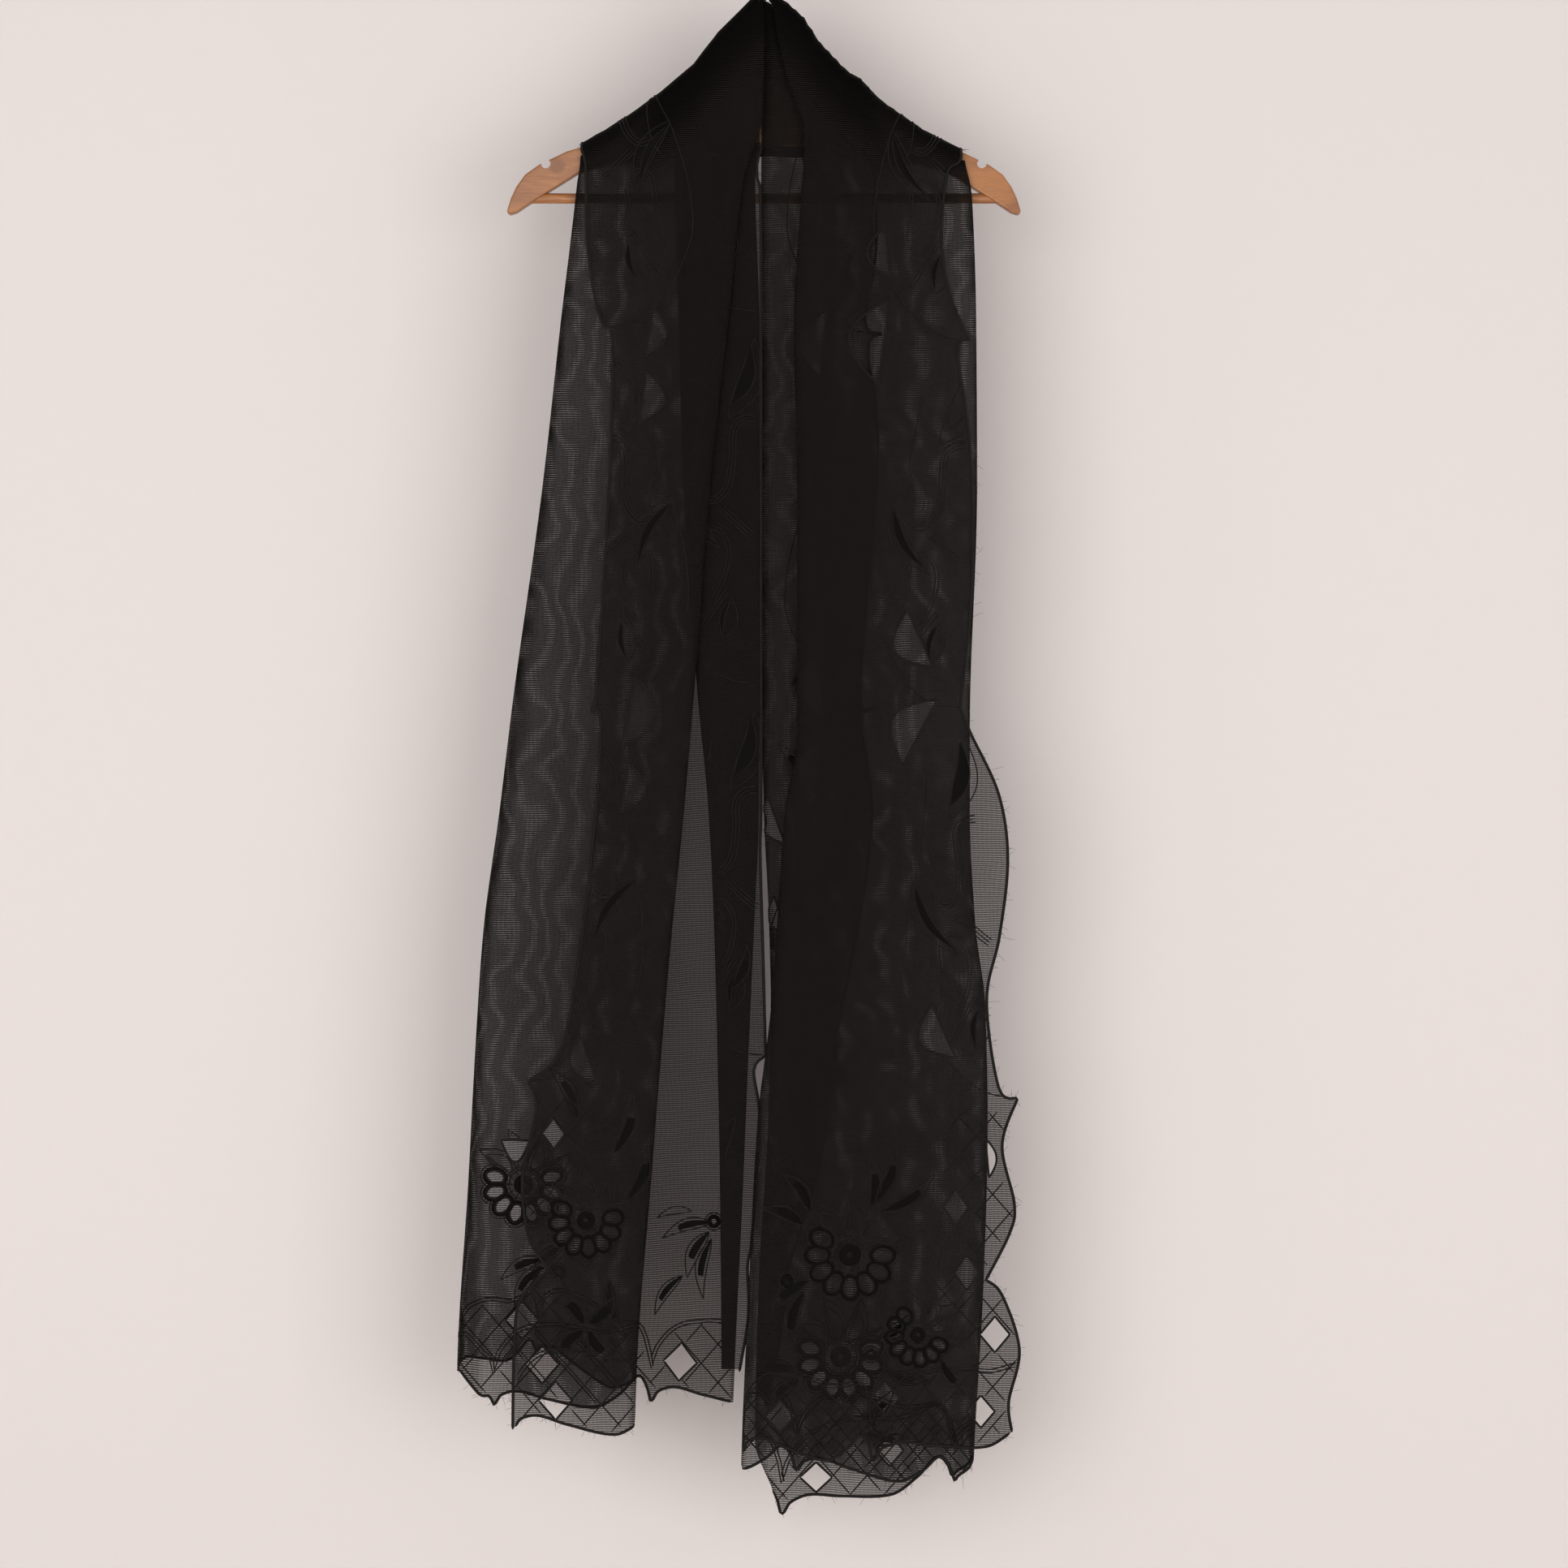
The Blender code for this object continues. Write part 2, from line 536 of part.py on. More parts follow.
def chart_mesh(outline, holes, lines):
    """Triangles that fill a chart outline, with holes left out and crease lines kept."""
    points = []
    edges = []

    def add_line(line, closed):
        first = len(points)
        points.extend(line)
        edges.extend((first + k, first + k + 1) for k in range(len(line) - 1))
        if closed:
            edges.append((first + len(line) - 1, first))

    add_line(outline, True)
    for hole in holes:
        add_line(hole, True)
    for line in lines:
        kept = [p for p in line if inside(p, outline) and distance(p, outline) > 0.4]
        if len(kept) > 1:
            add_line(kept, False)
    creases = [p for line in lines for p in line]
    xs = [p[0] for p in outline]
    ds = [p[1] for p in outline]
    row = math.floor(min(ds) / ROW_STEP) * ROW_STEP
    while row < max(ds):
        column = math.floor(min(xs) / COLUMN_STEP) * COLUMN_STEP
        while column < max(xs):
            p = (column, row)
            clear = inside(p, outline) and distance(p, outline) > COLUMN_STEP * 0.4
            clear = clear and all(distance(p, hole) > 9 for hole in holes)
            clear = clear and not any(inside(p, hole) for hole in holes)
            clear = clear and all(math.dist(p, q) > COLUMN_STEP * 0.4 for q in creases)
            if clear:
                points.append(p)
            column += COLUMN_STEP
        row += ROW_STEP
    found = delaunay_2d_cdt([Vector(p) for p in points], edges, [], 0, 1e-4)
    chart = [(v[0], v[1]) for v in found[0]]
    triangles = []
    for face in found[2]:
        middle = (sum(chart[k][0] for k in face) / 3, sum(chart[k][1] for k in face) / 3)
        if inside(middle, outline) and not any(inside(middle, hole) for hole in holes):
            triangles.append(tuple(face))
    return chart, triangles


def cloth_wall(name, chart, triangles, place, material):
    """Closed wall of cloth over a chart mesh."""
    bm = bmesh.new()
    used = sorted({k for face in triangles for k in face})
    front = {}
    back = {}
    step = 0.15
    for k in used:
        a, d = chart[k]
        middle = place(a, d)
        along = place(a + step, d) - place(a - step, d)
        down = place(a, d + step) - place(a, d - step)
        normal = along.cross(down).normalized() * (WALL / 2)
        front[k] = bm.verts.new((middle - normal) * MM)
        back[k] = bm.verts.new((middle + normal) * MM)
    sides = {}
    for a, b, c in triangles:
        bm.faces.new((front[a], front[b], front[c]))
        bm.faces.new((back[c], back[b], back[a]))
        for pair in ((a, b), (b, c), (c, a)):
            sides[pair] = True
    for a, b in list(sides):
        if (b, a) not in sides:
            bm.faces.new((front[b], front[a], back[a]))
            bm.faces.new((front[b], back[a], back[b]))
    bmesh.ops.recalc_face_normals(bm, faces=bm.faces)
    return finish(name, bm, material)


def finish(name, bm, material):
    """Turn a bmesh into a named object."""
    mesh = bpy.data.meshes.new(name)
    bm.to_mesh(mesh)
    bm.free()
    mesh.materials.append(material)
    made = bpy.data.objects.new(name, mesh)
    bpy.context.scene.collection.objects.link(made)
    return made


def make_material(name, colour, roughness, metallic):
    """Plain material of one colour."""
    material = bpy.data.materials.new(name)
    material.use_nodes = True
    shader = material.node_tree.nodes["Principled BSDF"]
    shader.inputs["Base Color"].default_value = (*colour, 1.0)
    shader.inputs["Roughness"].default_value = roughness
    shader.inputs["Metallic"].default_value = metallic
    return material


def stretch_outline(stretch, left_edge, right_edge, hem):
    """Closed chart outline: top from left to right, right edge down, hem, left edge up."""
    def top(x):
        if stretch.wraps:
            return ridge_base(x) - math.pi * RIDGE_RADIUS
        extra = INNER_TOP if stretch.layer == "inner" else HIDDEN_TOP
        return ridge_base(x) + extra

    def head(x_at):
        # the part of a side edge that lies over the ridge, or the single point where it starts
        if not stretch.wraps:
            x = x_at(top(x_at(0.0)))
            return [(x, top(x))]
        x = x_at(ridge_drop(x_at(0.0)))
        steps = range(RIDGE_STEPS, -1, -1)
        return [(x, ridge_base(x) - RIDGE_RADIUS * math.pi * k / RIDGE_STEPS) for k in steps]

    def fold_side(side):
        # the fold's chart line, from where it meets the top to where it meets the hem
        line = head(lambda drop: stretch.limit(side, drop))
        start = line[-1][1] + 2.0
        for drop in FOLD_DROPS:
            x = stretch.limit(side, drop)
            if start < drop < hem_drop(hem, x) - 6.0:
                line.append((x, drop))
        x = stretch.limit(side, hem_drop(hem, line[-1][0]))
        return line + [(x, hem_drop(hem, x))]

    def free_side(rows):
        curve = edge_curve(rows, ROW_STEP * 0.6)
        line = head(lambda drop: curve[0][0])
        return line + [p for p in curve if p[1] > line[-1][1] + 3.0]

    left = fold_side(stretch.left) if left_edge is None else free_side(left_edge)
    right = fold_side(stretch.right) if right_edge is None else free_side(right_edge)
    ridge_xs = [x for x, drop in RIDGE if left[0][0] + 4 < x < right[0][0] - 4]
    across_top = [(x, top(x)) for x in ridge_xs]
    bottom = hem_curve(hem, right[-1][0], left[-1][0], 15.0)
    return across_top + right + bottom[1:-1] + left[::-1], left[0][0], right[0][0]


def stretch_lines(stretch, outline, top_left, top_right):
    """Crease lines of a stretch: along its fold turns and over the ridge."""
    lines = []
    highest = min(p[1] for p in outline)
    lowest = max(p[1] for p in outline)
    for side, way in ((stretch.left, -1.0), (stretch.right, 1.0)):
        if side is None:
            continue
        for share in (0.0, 0.5):
            line = []
            drop = math.floor(highest / ROW_STEP) * ROW_STEP
            while drop < lowest:
                fold, radius, sign = stretch.turn(side, drop)
                if drop > ridge_base(fold) + TURN_START:
                    line.append((fold - way * radius + way * radius * math.pi / 2 * share, drop))
                drop += ROW_STEP
            lines.append(line)
    low = top_left + 1.2
    high = top_right - 1.2
    xs = [low] + [x for x, drop in RIDGE if low + 3 < x < high - 3] + [high]
    if stretch.wraps:
        for k in range(RIDGE_STEPS):
            angle = math.pi * k / RIDGE_STEPS
            lines.append([(x, ridge_base(x) - RIDGE_RADIUS * angle) for x in xs])
    for fall in SHOULDER_FALLS:
        lines.append([(x, ridge_base(x) + fall) for x in xs])
    return lines


def build_stretch(stretch, material, left_edge=None, right_edge=None):
    """Build one stretch of cloth as a closed wall."""
    hem = HEMS[stretch.name]
    outline, top_left, top_right = stretch_outline(stretch, left_edge, right_edge, hem)
    lines = stretch_lines(stretch, outline, top_left, top_right)
    chart, triangles = chart_mesh(outline, cuts_of(stretch.name), lines)
    return cloth_wall(stretch.name + "_fall", chart, triangles, stretch.place, material)


def build_pleat(material):
    """Build the inner pleat as one zigzag wall of regular rows."""
    pleat = Pleat()
    columns = []
    for layer in range(4):
        shares = [0.0, 0.1, 0.2, 0.8, 0.9] if layer < 3 else [0.0, 0.1, 0.2, 0.6]
        columns += [layer + share for share in shares]
    columns.append(4.0)
    top = 0.0
    for x in PLEAT_SPAN:
        top = max(top, ridge_base(x) + INNER_TOP)
    drops = []
    drop = top
    while drop < PLEAT_ROWS_END:
        drops.append(drop)
        drop += ROW_STEP
    drops += PLEAT_LAST_ROWS
    chart = [(c, d) for d in drops for c in columns]
    wide = len(columns)
    triangles = []
    for r in range(len(drops) - 1):
        for c in range(wide - 1):
            a = r * wide + c
            triangles.append((a, a + wide, a + 1))
            triangles.append((a + 1, a + wide, a + wide + 1))

    def place(along, drop):
        return pleat.place(min(4.0, max(0.0, along)), drop)

    return pleat_wall("left_inner_pleat", chart, triangles, place, wide, material)


def pleat_wall(name, chart, triangles, place, wide, material):
    """Closed wall over the pleat's rows, with normals taken across each row."""
    points = [place(a, d) for a, d in chart]
    rows = len(chart) // wide
    bm = bmesh.new()
    front = []
    back = []
    for k, middle in enumerate(points):
        r, c = divmod(k, wide)
        before = points[r * wide + max(0, c - 1)]
        after = points[r * wide + min(wide - 1, c + 1)]
        above = points[max(0, r - 1) * wide + c]
        below = points[min(rows - 1, r + 1) * wide + c]
        normal = (after - before).cross(below - above).normalized() * (WALL / 2)
        front.append(bm.verts.new((middle - normal) * MM))
        back.append(bm.verts.new((middle + normal) * MM))
    sides = set()
    for a, b, c in triangles:
        bm.faces.new((front[a], front[b], front[c]))
        bm.faces.new((back[c], back[b], back[a]))
        sides.update(((a, b), (b, c), (c, a)))
    for a, b in sorted(sides):
        if (b, a) not in sides:
            bm.faces.new((front[b], front[a], back[a]))
            bm.faces.new((front[b], back[a], back[b]))
    bmesh.ops.recalc_face_normals(bm, faces=bm.faces)
    return finish(name, bm, material)


def build_band(material):
    """Build the double band behind the neck, folded at its lower edge."""
    radius = (BAND_OUTER - BAND_INNER) / 2
    xs = [BAND_LEFT] + [x for x, drop in RIDGE if BAND_LEFT < x < BAND_RIGHT] + [BAND_RIGHT]

    def lower(x):
        return BAND_LOWER + BAND_LOWER_MORE * (x / BAND_HALF) ** 2

    sections = []
    for x in xs:
        top = ridge_base(x) + BAND_GAP
        outer_end = lower(x) - radius
        inner_top = min(top + BAND_INNER_START, outer_end - 1.0)
        row = []
        for k in range(4):
            row.append((BAND_OUTER, top + (outer_end - top) * k / 3))
        for k in range(1, 4):
            angle = math.pi * k / 4
            middle = (BAND_OUTER + BAND_INNER) / 2
            row.append((middle + radius * math.cos(angle), outer_end + radius * math.sin(angle)))
        for k in range(4):
            row.append((BAND_INNER, outer_end + (inner_top - outer_end) * k / 3))
        sections.append([Vector((x, y, -drop)) for y, drop in row])
    wide = len(sections[0])
    chart = [(c, r) for r in range(len(sections)) for c in range(wide)]
    triangles = []
    for r in range(len(sections) - 1):
        for c in range(wide - 1):
            a = r * wide + c
            triangles.append((a, a + wide, a + 1))
            triangles.append((a + 1, a + wide, a + wide + 1))

    def place(c, r):
        return sections[int(r)][int(c)]

    return pleat_wall("neck_band", chart, triangles, place, wide, material)


def build_hanger_body(material):
    """Wooden body: two arms in one outline, notched near their ends."""
    outline = HALF_BODY + [(-x, d) for x, d in HALF_BODY[-2:0:-1]]
    bm = bmesh.new()
    half_thick = WOOD_THICK / 2
    ring = [bm.verts.new((x * MM, half_thick * MM, -d * MM)) for x, d in outline]
    face = bm.faces.new(ring)
    made = bmesh.ops.extrude_face_region(bm, geom=[face])
    moved = [v for v in made["geom"] if isinstance(v, bmesh.types.BMVert)]
    bmesh.ops.translate(bm, verts=moved, vec=(0, -WOOD_THICK * MM, 0))
    bmesh.ops.recalc_face_normals(bm, faces=bm.faces)
    body = finish("hanger_body", bm, material)
    bevel = body.modifiers.new("rounded edges", "BEVEL")
    bevel.width = WOOD_BEVEL * MM
    bevel.segments = 3
    bevel.limit_method = "ANGLE"
    bevel.angle_limit = math.radians(50)
    for way in (-1, 1):
        cut(body, "notch", NOTCH_RADIUS, (way * NOTCH_ACROSS, 0, -NOTCH_DROP), "Y", NOTCH_LONG)
        socket = way * (BAR_HALF + SEAM_GAP - SOCKET_LONG / 2)
        cut(body, "bar_socket", BAR_RADIUS + SEAM_GAP, (socket, 0, -BAR_DROP), "X", SOCKET_LONG)
    return body


def cut(body, name, radius, centre, axis, length):
    """Cut a round hole out of the wooden body."""
    bpy.ops.mesh.primitive_cylinder_add(vertices=20, radius=radius * MM, depth=length * MM)
    cutter = bpy.context.active_object
    cutter.name = name + "_cutter"
    cutter.location = Vector(centre) * MM
    cutter.rotation_euler = (math.pi / 2, 0, 0) if axis == "Y" else (0, math.pi / 2, 0)
    cutter.hide_render = True
    cutter.display_type = "WIRE"
    boolean = body.modifiers.new(name, "BOOLEAN")
    boolean.operation = "DIFFERENCE"
    boolean.object = cutter


def build_bar(material):
    """Wooden bar between the arms."""
    bpy.ops.mesh.primitive_cylinder_add(vertices=20, radius=BAR_RADIUS * MM, depth=2 * BAR_HALF * MM)
    bar = bpy.context.active_object
    bar.name = "hanger_bar"
    bar.location = (0, 0, -BAR_DROP * MM)
    bar.rotation_euler = (0, math.pi / 2, 0)
    bar.data.materials.append(material)
    return bar


def build_hook(material):
    """Wire hook: a straight stem and a round loop over the rail."""
    centre = HOOK_RADIUS - HOOK_WIRE
    points = [(0.0, HALF_BODY[0][1] - SEAM_GAP), (0.0, 90.0), (0.0, 60.0), (0.0, STEM_BEND_DROP + 5)]
    points += [(-2.0, STEM_BEND_DROP - 1.5), (-7.0, STEM_BEND_DROP - 5.5)]
    for degrees in range(225, -46, -15):
        angle = math.radians(degrees)
        points.append((HOOK_RADIUS * math.cos(angle), centre - HOOK_RADIUS * math.sin(angle)))
    curve = bpy.data.curves.new("hanger_hook", "CURVE")
    curve.dimensions = "3D"
    curve.bevel_depth = HOOK_WIRE * MM
    curve.bevel_resolution = 2
    curve.use_fill_caps = True
    spline = curve.splines.new("POLY")
    spline.points.add(len(points) - 1)
    for point, (x, drop) in zip(spline.points, points):
        point.co = (x * MM, 0.0, -drop * MM, 1.0)
    curve.materials.append(material)
    hook = bpy.data.objects.new("hanger_hook", curve)
    bpy.context.scene.collection.objects.link(hook)
    return hook


def main():
    for old in list(bpy.data.objects):
        bpy.data.objects.remove(old, do_unlink=True)
    black = make_material("black organza", (0.012, 0.011, 0.011), 0.75, 0.0)
    wood = make_material("light varnished wood", (0.46, 0.25, 0.12), 0.4, 0.0)
    steel = make_material("plated steel wire", (0.62, 0.61, 0.6), 0.28, 1.0)
    build_hanger_body(wood)
    build_bar(wood)
    build_hook(steel)
    left = (LEFT_LAYERS, LEFT_FOLDS)
    right = (RIGHT_LAYERS, RIGHT_FOLDS)
    build_stretch(
        Stretch("left_front", *left, "front", right=("front", "middle"), wraps=True),
        black, left_edge=LEFT_OUTER_EDGE,
    )
    build_stretch(
        Stretch("left_middle", *left, "middle", left=("outer", "back"), right=("front", "front")),
        black,
    )
    build_stretch(
        Stretch("left_back", *left, "back", left=("outer", "middle"), right=("pleat_right", "pleat1")),
        black,
    )
    build_pleat(black)
    build_stretch(
        Stretch("right_front", *right, "front", left=("boundary", "middle"), wraps=True),
        black, right_edge=RIGHT_OUTER_EDGE,
    )
    build_stretch(
        Stretch("right_middle", *right, "middle", left=("boundary", "front"), right=("outer", "back")),
        black,
    )
    build_stretch(
        Stretch("right_back", *right, "back", left=("inner", "inner"), right=("outer", "middle")),
        black,
    )
    build_stretch(
        Stretch("right_inner", *right, "inner", left=("inner", "back")),
        black, right_edge=RIGHT_INNER_EDGE,
    )
    build_band(black)


main()
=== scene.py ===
"""A sheer black dupatta laid round the neck of a wooden coat hanger.

The hook's inside top is the origin, +X is to the viewer's right, -Y is the front and +Z is up.
"""
import math
import random

import bpy
import numpy as np
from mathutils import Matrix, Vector
from mathutils.geometry import delaunay_2d_cdt


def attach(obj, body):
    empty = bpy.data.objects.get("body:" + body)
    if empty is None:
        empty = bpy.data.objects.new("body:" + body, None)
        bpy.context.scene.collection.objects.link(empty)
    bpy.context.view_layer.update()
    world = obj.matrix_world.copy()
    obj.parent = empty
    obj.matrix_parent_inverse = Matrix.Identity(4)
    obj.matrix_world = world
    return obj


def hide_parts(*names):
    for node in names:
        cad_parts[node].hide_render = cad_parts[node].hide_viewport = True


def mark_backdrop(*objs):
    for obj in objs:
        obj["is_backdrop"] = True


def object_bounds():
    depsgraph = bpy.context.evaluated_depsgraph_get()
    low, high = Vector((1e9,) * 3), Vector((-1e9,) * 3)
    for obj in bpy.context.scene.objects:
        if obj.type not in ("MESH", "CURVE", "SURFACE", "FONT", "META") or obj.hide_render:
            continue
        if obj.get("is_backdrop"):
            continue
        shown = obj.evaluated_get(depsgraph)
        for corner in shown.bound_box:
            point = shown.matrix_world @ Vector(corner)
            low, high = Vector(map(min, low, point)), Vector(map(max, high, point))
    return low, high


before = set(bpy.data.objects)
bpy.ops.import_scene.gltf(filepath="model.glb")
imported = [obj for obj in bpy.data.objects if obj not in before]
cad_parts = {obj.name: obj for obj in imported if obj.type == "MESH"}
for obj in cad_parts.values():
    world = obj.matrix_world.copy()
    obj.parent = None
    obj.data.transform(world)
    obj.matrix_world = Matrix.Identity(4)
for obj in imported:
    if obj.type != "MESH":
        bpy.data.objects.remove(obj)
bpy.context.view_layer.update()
scene = bpy.context.scene


# The view
# The camera stands four metres in front of the cloth, level with its middle, and looks straight at it.
VIEW_DISTANCE = 4.0
VIEW_HEIGHT = 1.347
camera_data = bpy.data.cameras.new("camera")
camera_data.sensor_width = 36.0
camera_data.lens = 36.0 * VIEW_DISTANCE / VIEW_HEIGHT
camera = bpy.data.objects.new("camera", camera_data)
camera.location = (0.0174, -0.02 - VIEW_DISTANCE, -0.7245)
camera.rotation_euler = (math.pi / 2, 0.0, 0.0)
scene.collection.objects.link(camera)
scene.camera = camera


# The studio
# A painted wall close behind the hanger, a pale floor below it, and three large soft lights.
# The wall is seen from its front only, so that the cloth's back can be looked at too.
WALL_BEHIND = 0.13
WALL_TOP = 1.6
FLOOR_DROP = 1.75


def plane(name, corners, material):
    """Flat rectangle from its four corners."""
    mesh = bpy.data.meshes.new(name)
    mesh.from_pydata(corners, [], [(0, 1, 2, 3)])
    mesh.materials.append(material)
    made = bpy.data.objects.new(name, mesh)
    scene.collection.objects.link(made)
    return made


def new_material(name):
    """Empty node material with its shader, output and tree."""
    material = bpy.data.materials.new(name)
    material.use_nodes = True
    tree = material.node_tree
    return material, tree, tree.nodes["Principled BSDF"]


wall_paint, tree, shader = new_material("matt wall paint")
shader.inputs["Roughness"].default_value = 0.9
shader.inputs["Specular IOR Level"].default_value = 0.1
paint_noise = tree.nodes.new("ShaderNodeTexNoise")
paint_noise.inputs["Scale"].default_value = 0.7
paint_noise.inputs["Detail"].default_value = 2.0
paint_colour = tree.nodes.new("ShaderNodeValToRGB")
paint_colour.color_ramp.elements[0].position = 0.3
paint_colour.color_ramp.elements[0].color = (0.745, 0.700, 0.688, 1.0)
paint_colour.color_ramp.elements[1].position = 0.7
paint_colour.color_ramp.elements[1].color = (0.79, 0.745, 0.733, 1.0)
tree.links.new(paint_noise.outputs["Fac"], paint_colour.inputs["Fac"])
tree.links.new(paint_colour.outputs["Color"], shader.inputs["Base Color"])
back_side = tree.nodes.new("ShaderNodeNewGeometry")
see_through = tree.nodes.new("ShaderNodeBsdfTransparent")
sides = tree.nodes.new("ShaderNodeMixShader")
tree.links.new(back_side.outputs["Backfacing"], sides.inputs["Fac"])
tree.links.new(shader.outputs["BSDF"], sides.inputs[1])
tree.links.new(see_through.outputs["BSDF"], sides.inputs[2])
tree.links.new(sides.outputs["Shader"], tree.nodes["Material Output"].inputs["Surface"])
wall = plane(
    "studio_wall",
    [(-3, WALL_BEHIND, -FLOOR_DROP), (3, WALL_BEHIND, -FLOOR_DROP), (3, WALL_BEHIND, WALL_TOP),
     (-3, WALL_BEHIND, WALL_TOP)],
    wall_paint,
)

floor_paint, tree, shader = new_material("pale floor")
shader.inputs["Roughness"].default_value = 0.6
shader.inputs["Base Color"].default_value = (0.74, 0.70, 0.68, 1.0)
floor = plane(
    "studio_floor",
    [(-6, -6, -FLOOR_DROP), (6, -6, -FLOOR_DROP), (6, 6, -FLOOR_DROP), (-6, 6, -FLOOR_DROP)],
    floor_paint,
)
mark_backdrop(wall, floor)

LIGHTS = [
    {"name": "key_light", "x": -1.2, "y": -3.2, "z": -0.6, "width": 2.4, "power": 48.0},
    {"name": "fill_light", "x": 1.7, "y": -3.2, "z": -1.0, "width": 2.4, "power": 50.0},
    {"name": "back_light", "x": 0.4, "y": 2.6, "z": 0.6, "width": 2.0, "power": 30.0},
]
for row in LIGHTS:
    light = bpy.data.lights.new(row["name"], "AREA")
    light.shape = "SQUARE"
    light.size = row["width"]
    light.energy = row["power"]
    light.color = (1.0, 0.985, 0.97)
    lamp = bpy.data.objects.new(row["name"], light)
    lamp.location = (row["x"], row["y"], row["z"])
    towards = Vector((0.0, 0.0, -0.7)) - lamp.location
    lamp.rotation_euler = towards.to_track_quat("-Z", "Y").to_euler()
    scene.collection.objects.link(lamp)

air = bpy.data.worlds.new("studio air")
air.use_nodes = True
air.node_tree.nodes["Background"].inputs["Color"].default_value = (0.80, 0.755, 0.74, 1.0)
air.node_tree.nodes["Background"].inputs["Strength"].default_value = 0.62
scene.world = air
scene.view_settings.view_transform = "Standard"


# The hanger's arms and trouser bar
# Beech turned and sawn to shape, sanded and varnished clear, with one dark knot in an arm.
# The bar is glued into a socket in each arm.
WOOD_LIGHT = (0.44, 0.178, 0.055, 1.0)
WOOD_DARK = (0.22, 0.082, 0.028, 1.0)
KNOT = (-0.178, -0.008, -0.192)
KNOT_REACH = 0.009


def new_group(name, takes, gives):
    """Shader node group with named inputs and outputs."""
    group = bpy.data.node_groups.new(name, "ShaderNodeTree")
    for label, kind, value in takes:
        socket = group.interface.new_socket(name=label, in_out="INPUT", socket_type=kind)
        if value is not None:
            socket.default_value = value
    for label, kind in gives:
        group.interface.new_socket(name=label, in_out="OUTPUT", socket_type=kind)
    entry = group.nodes.new("NodeGroupInput")
    leave = group.nodes.new("NodeGroupOutput")
    return group, entry, leave


def maths(tree, operation, *values):
    """Math node with numbers or sockets for its inputs."""
    node = tree.nodes.new("ShaderNodeMath")
    node.operation = operation
    for socket, value in zip(node.inputs, values):
        if isinstance(value, (int, float)):
            socket.default_value = value
        else:
            tree.links.new(value, socket)
    return node.outputs[0]


def noise(tree, vector, scale, detail=2.0):
    """Noise texture; its scale is a number or a socket."""
    node = tree.nodes.new("ShaderNodeTexNoise")
    node.inputs["Detail"].default_value = detail
    tree.links.new(vector, node.inputs["Vector"])
    if isinstance(scale, float):
        node.inputs["Scale"].default_value = scale
    else:
        tree.links.new(scale, node.inputs["Scale"])
    return node


def raise_surface(tree, shader, height, distance, strength):
    """Bump on a shader's normal."""
    bump = tree.nodes.new("ShaderNodeBump")
    bump.inputs["Distance"].default_value = distance
    bump.inputs["Strength"].default_value = strength
    tree.links.new(height, bump.inputs["Height"])
    tree.links.new(bump.outputs["Normal"], shader.inputs["Normal"])


def use_group(tree, group, **values):
    """Place a group in a material with its own values."""
    node = tree.nodes.new("ShaderNodeGroup")
    node.node_tree = group
    for label, value in values.items():
        node.inputs[label.replace("_", " ")].default_value = value
    return node


grain, entry, leave = new_group(
    "wood grain",
    [("Vector", "NodeSocketVector", None), ("Ring Scale", "NodeSocketFloat", 60.0),
     ("Pore Scale", "NodeSocketFloat", 900.0)],
    [("Rings", "NodeSocketFloat"), ("Pores", "NodeSocketFloat")],
)
stretched = grain.nodes.new("ShaderNodeMapping")
stretched.inputs["Scale"].default_value = (0.12, 1.0, 1.0)
grain.links.new(entry.outputs["Vector"], stretched.inputs["Vector"])
rings = noise(grain, stretched.outputs["Vector"], entry.outputs["Ring Scale"], 4.0)
rings.inputs["Distortion"].default_value = 1.2
banded = maths(grain, "SINE", maths(grain, "MULTIPLY", rings.outputs["Fac"], 34.0))
grain.links.new(maths(grain, "MULTIPLY_ADD", banded, 0.5, 0.5), leave.inputs["Rings"])
pores = noise(grain, stretched.outputs["Vector"], entry.outputs["Pore Scale"])
grain.links.new(pores.outputs["Fac"], leave.inputs["Pores"])


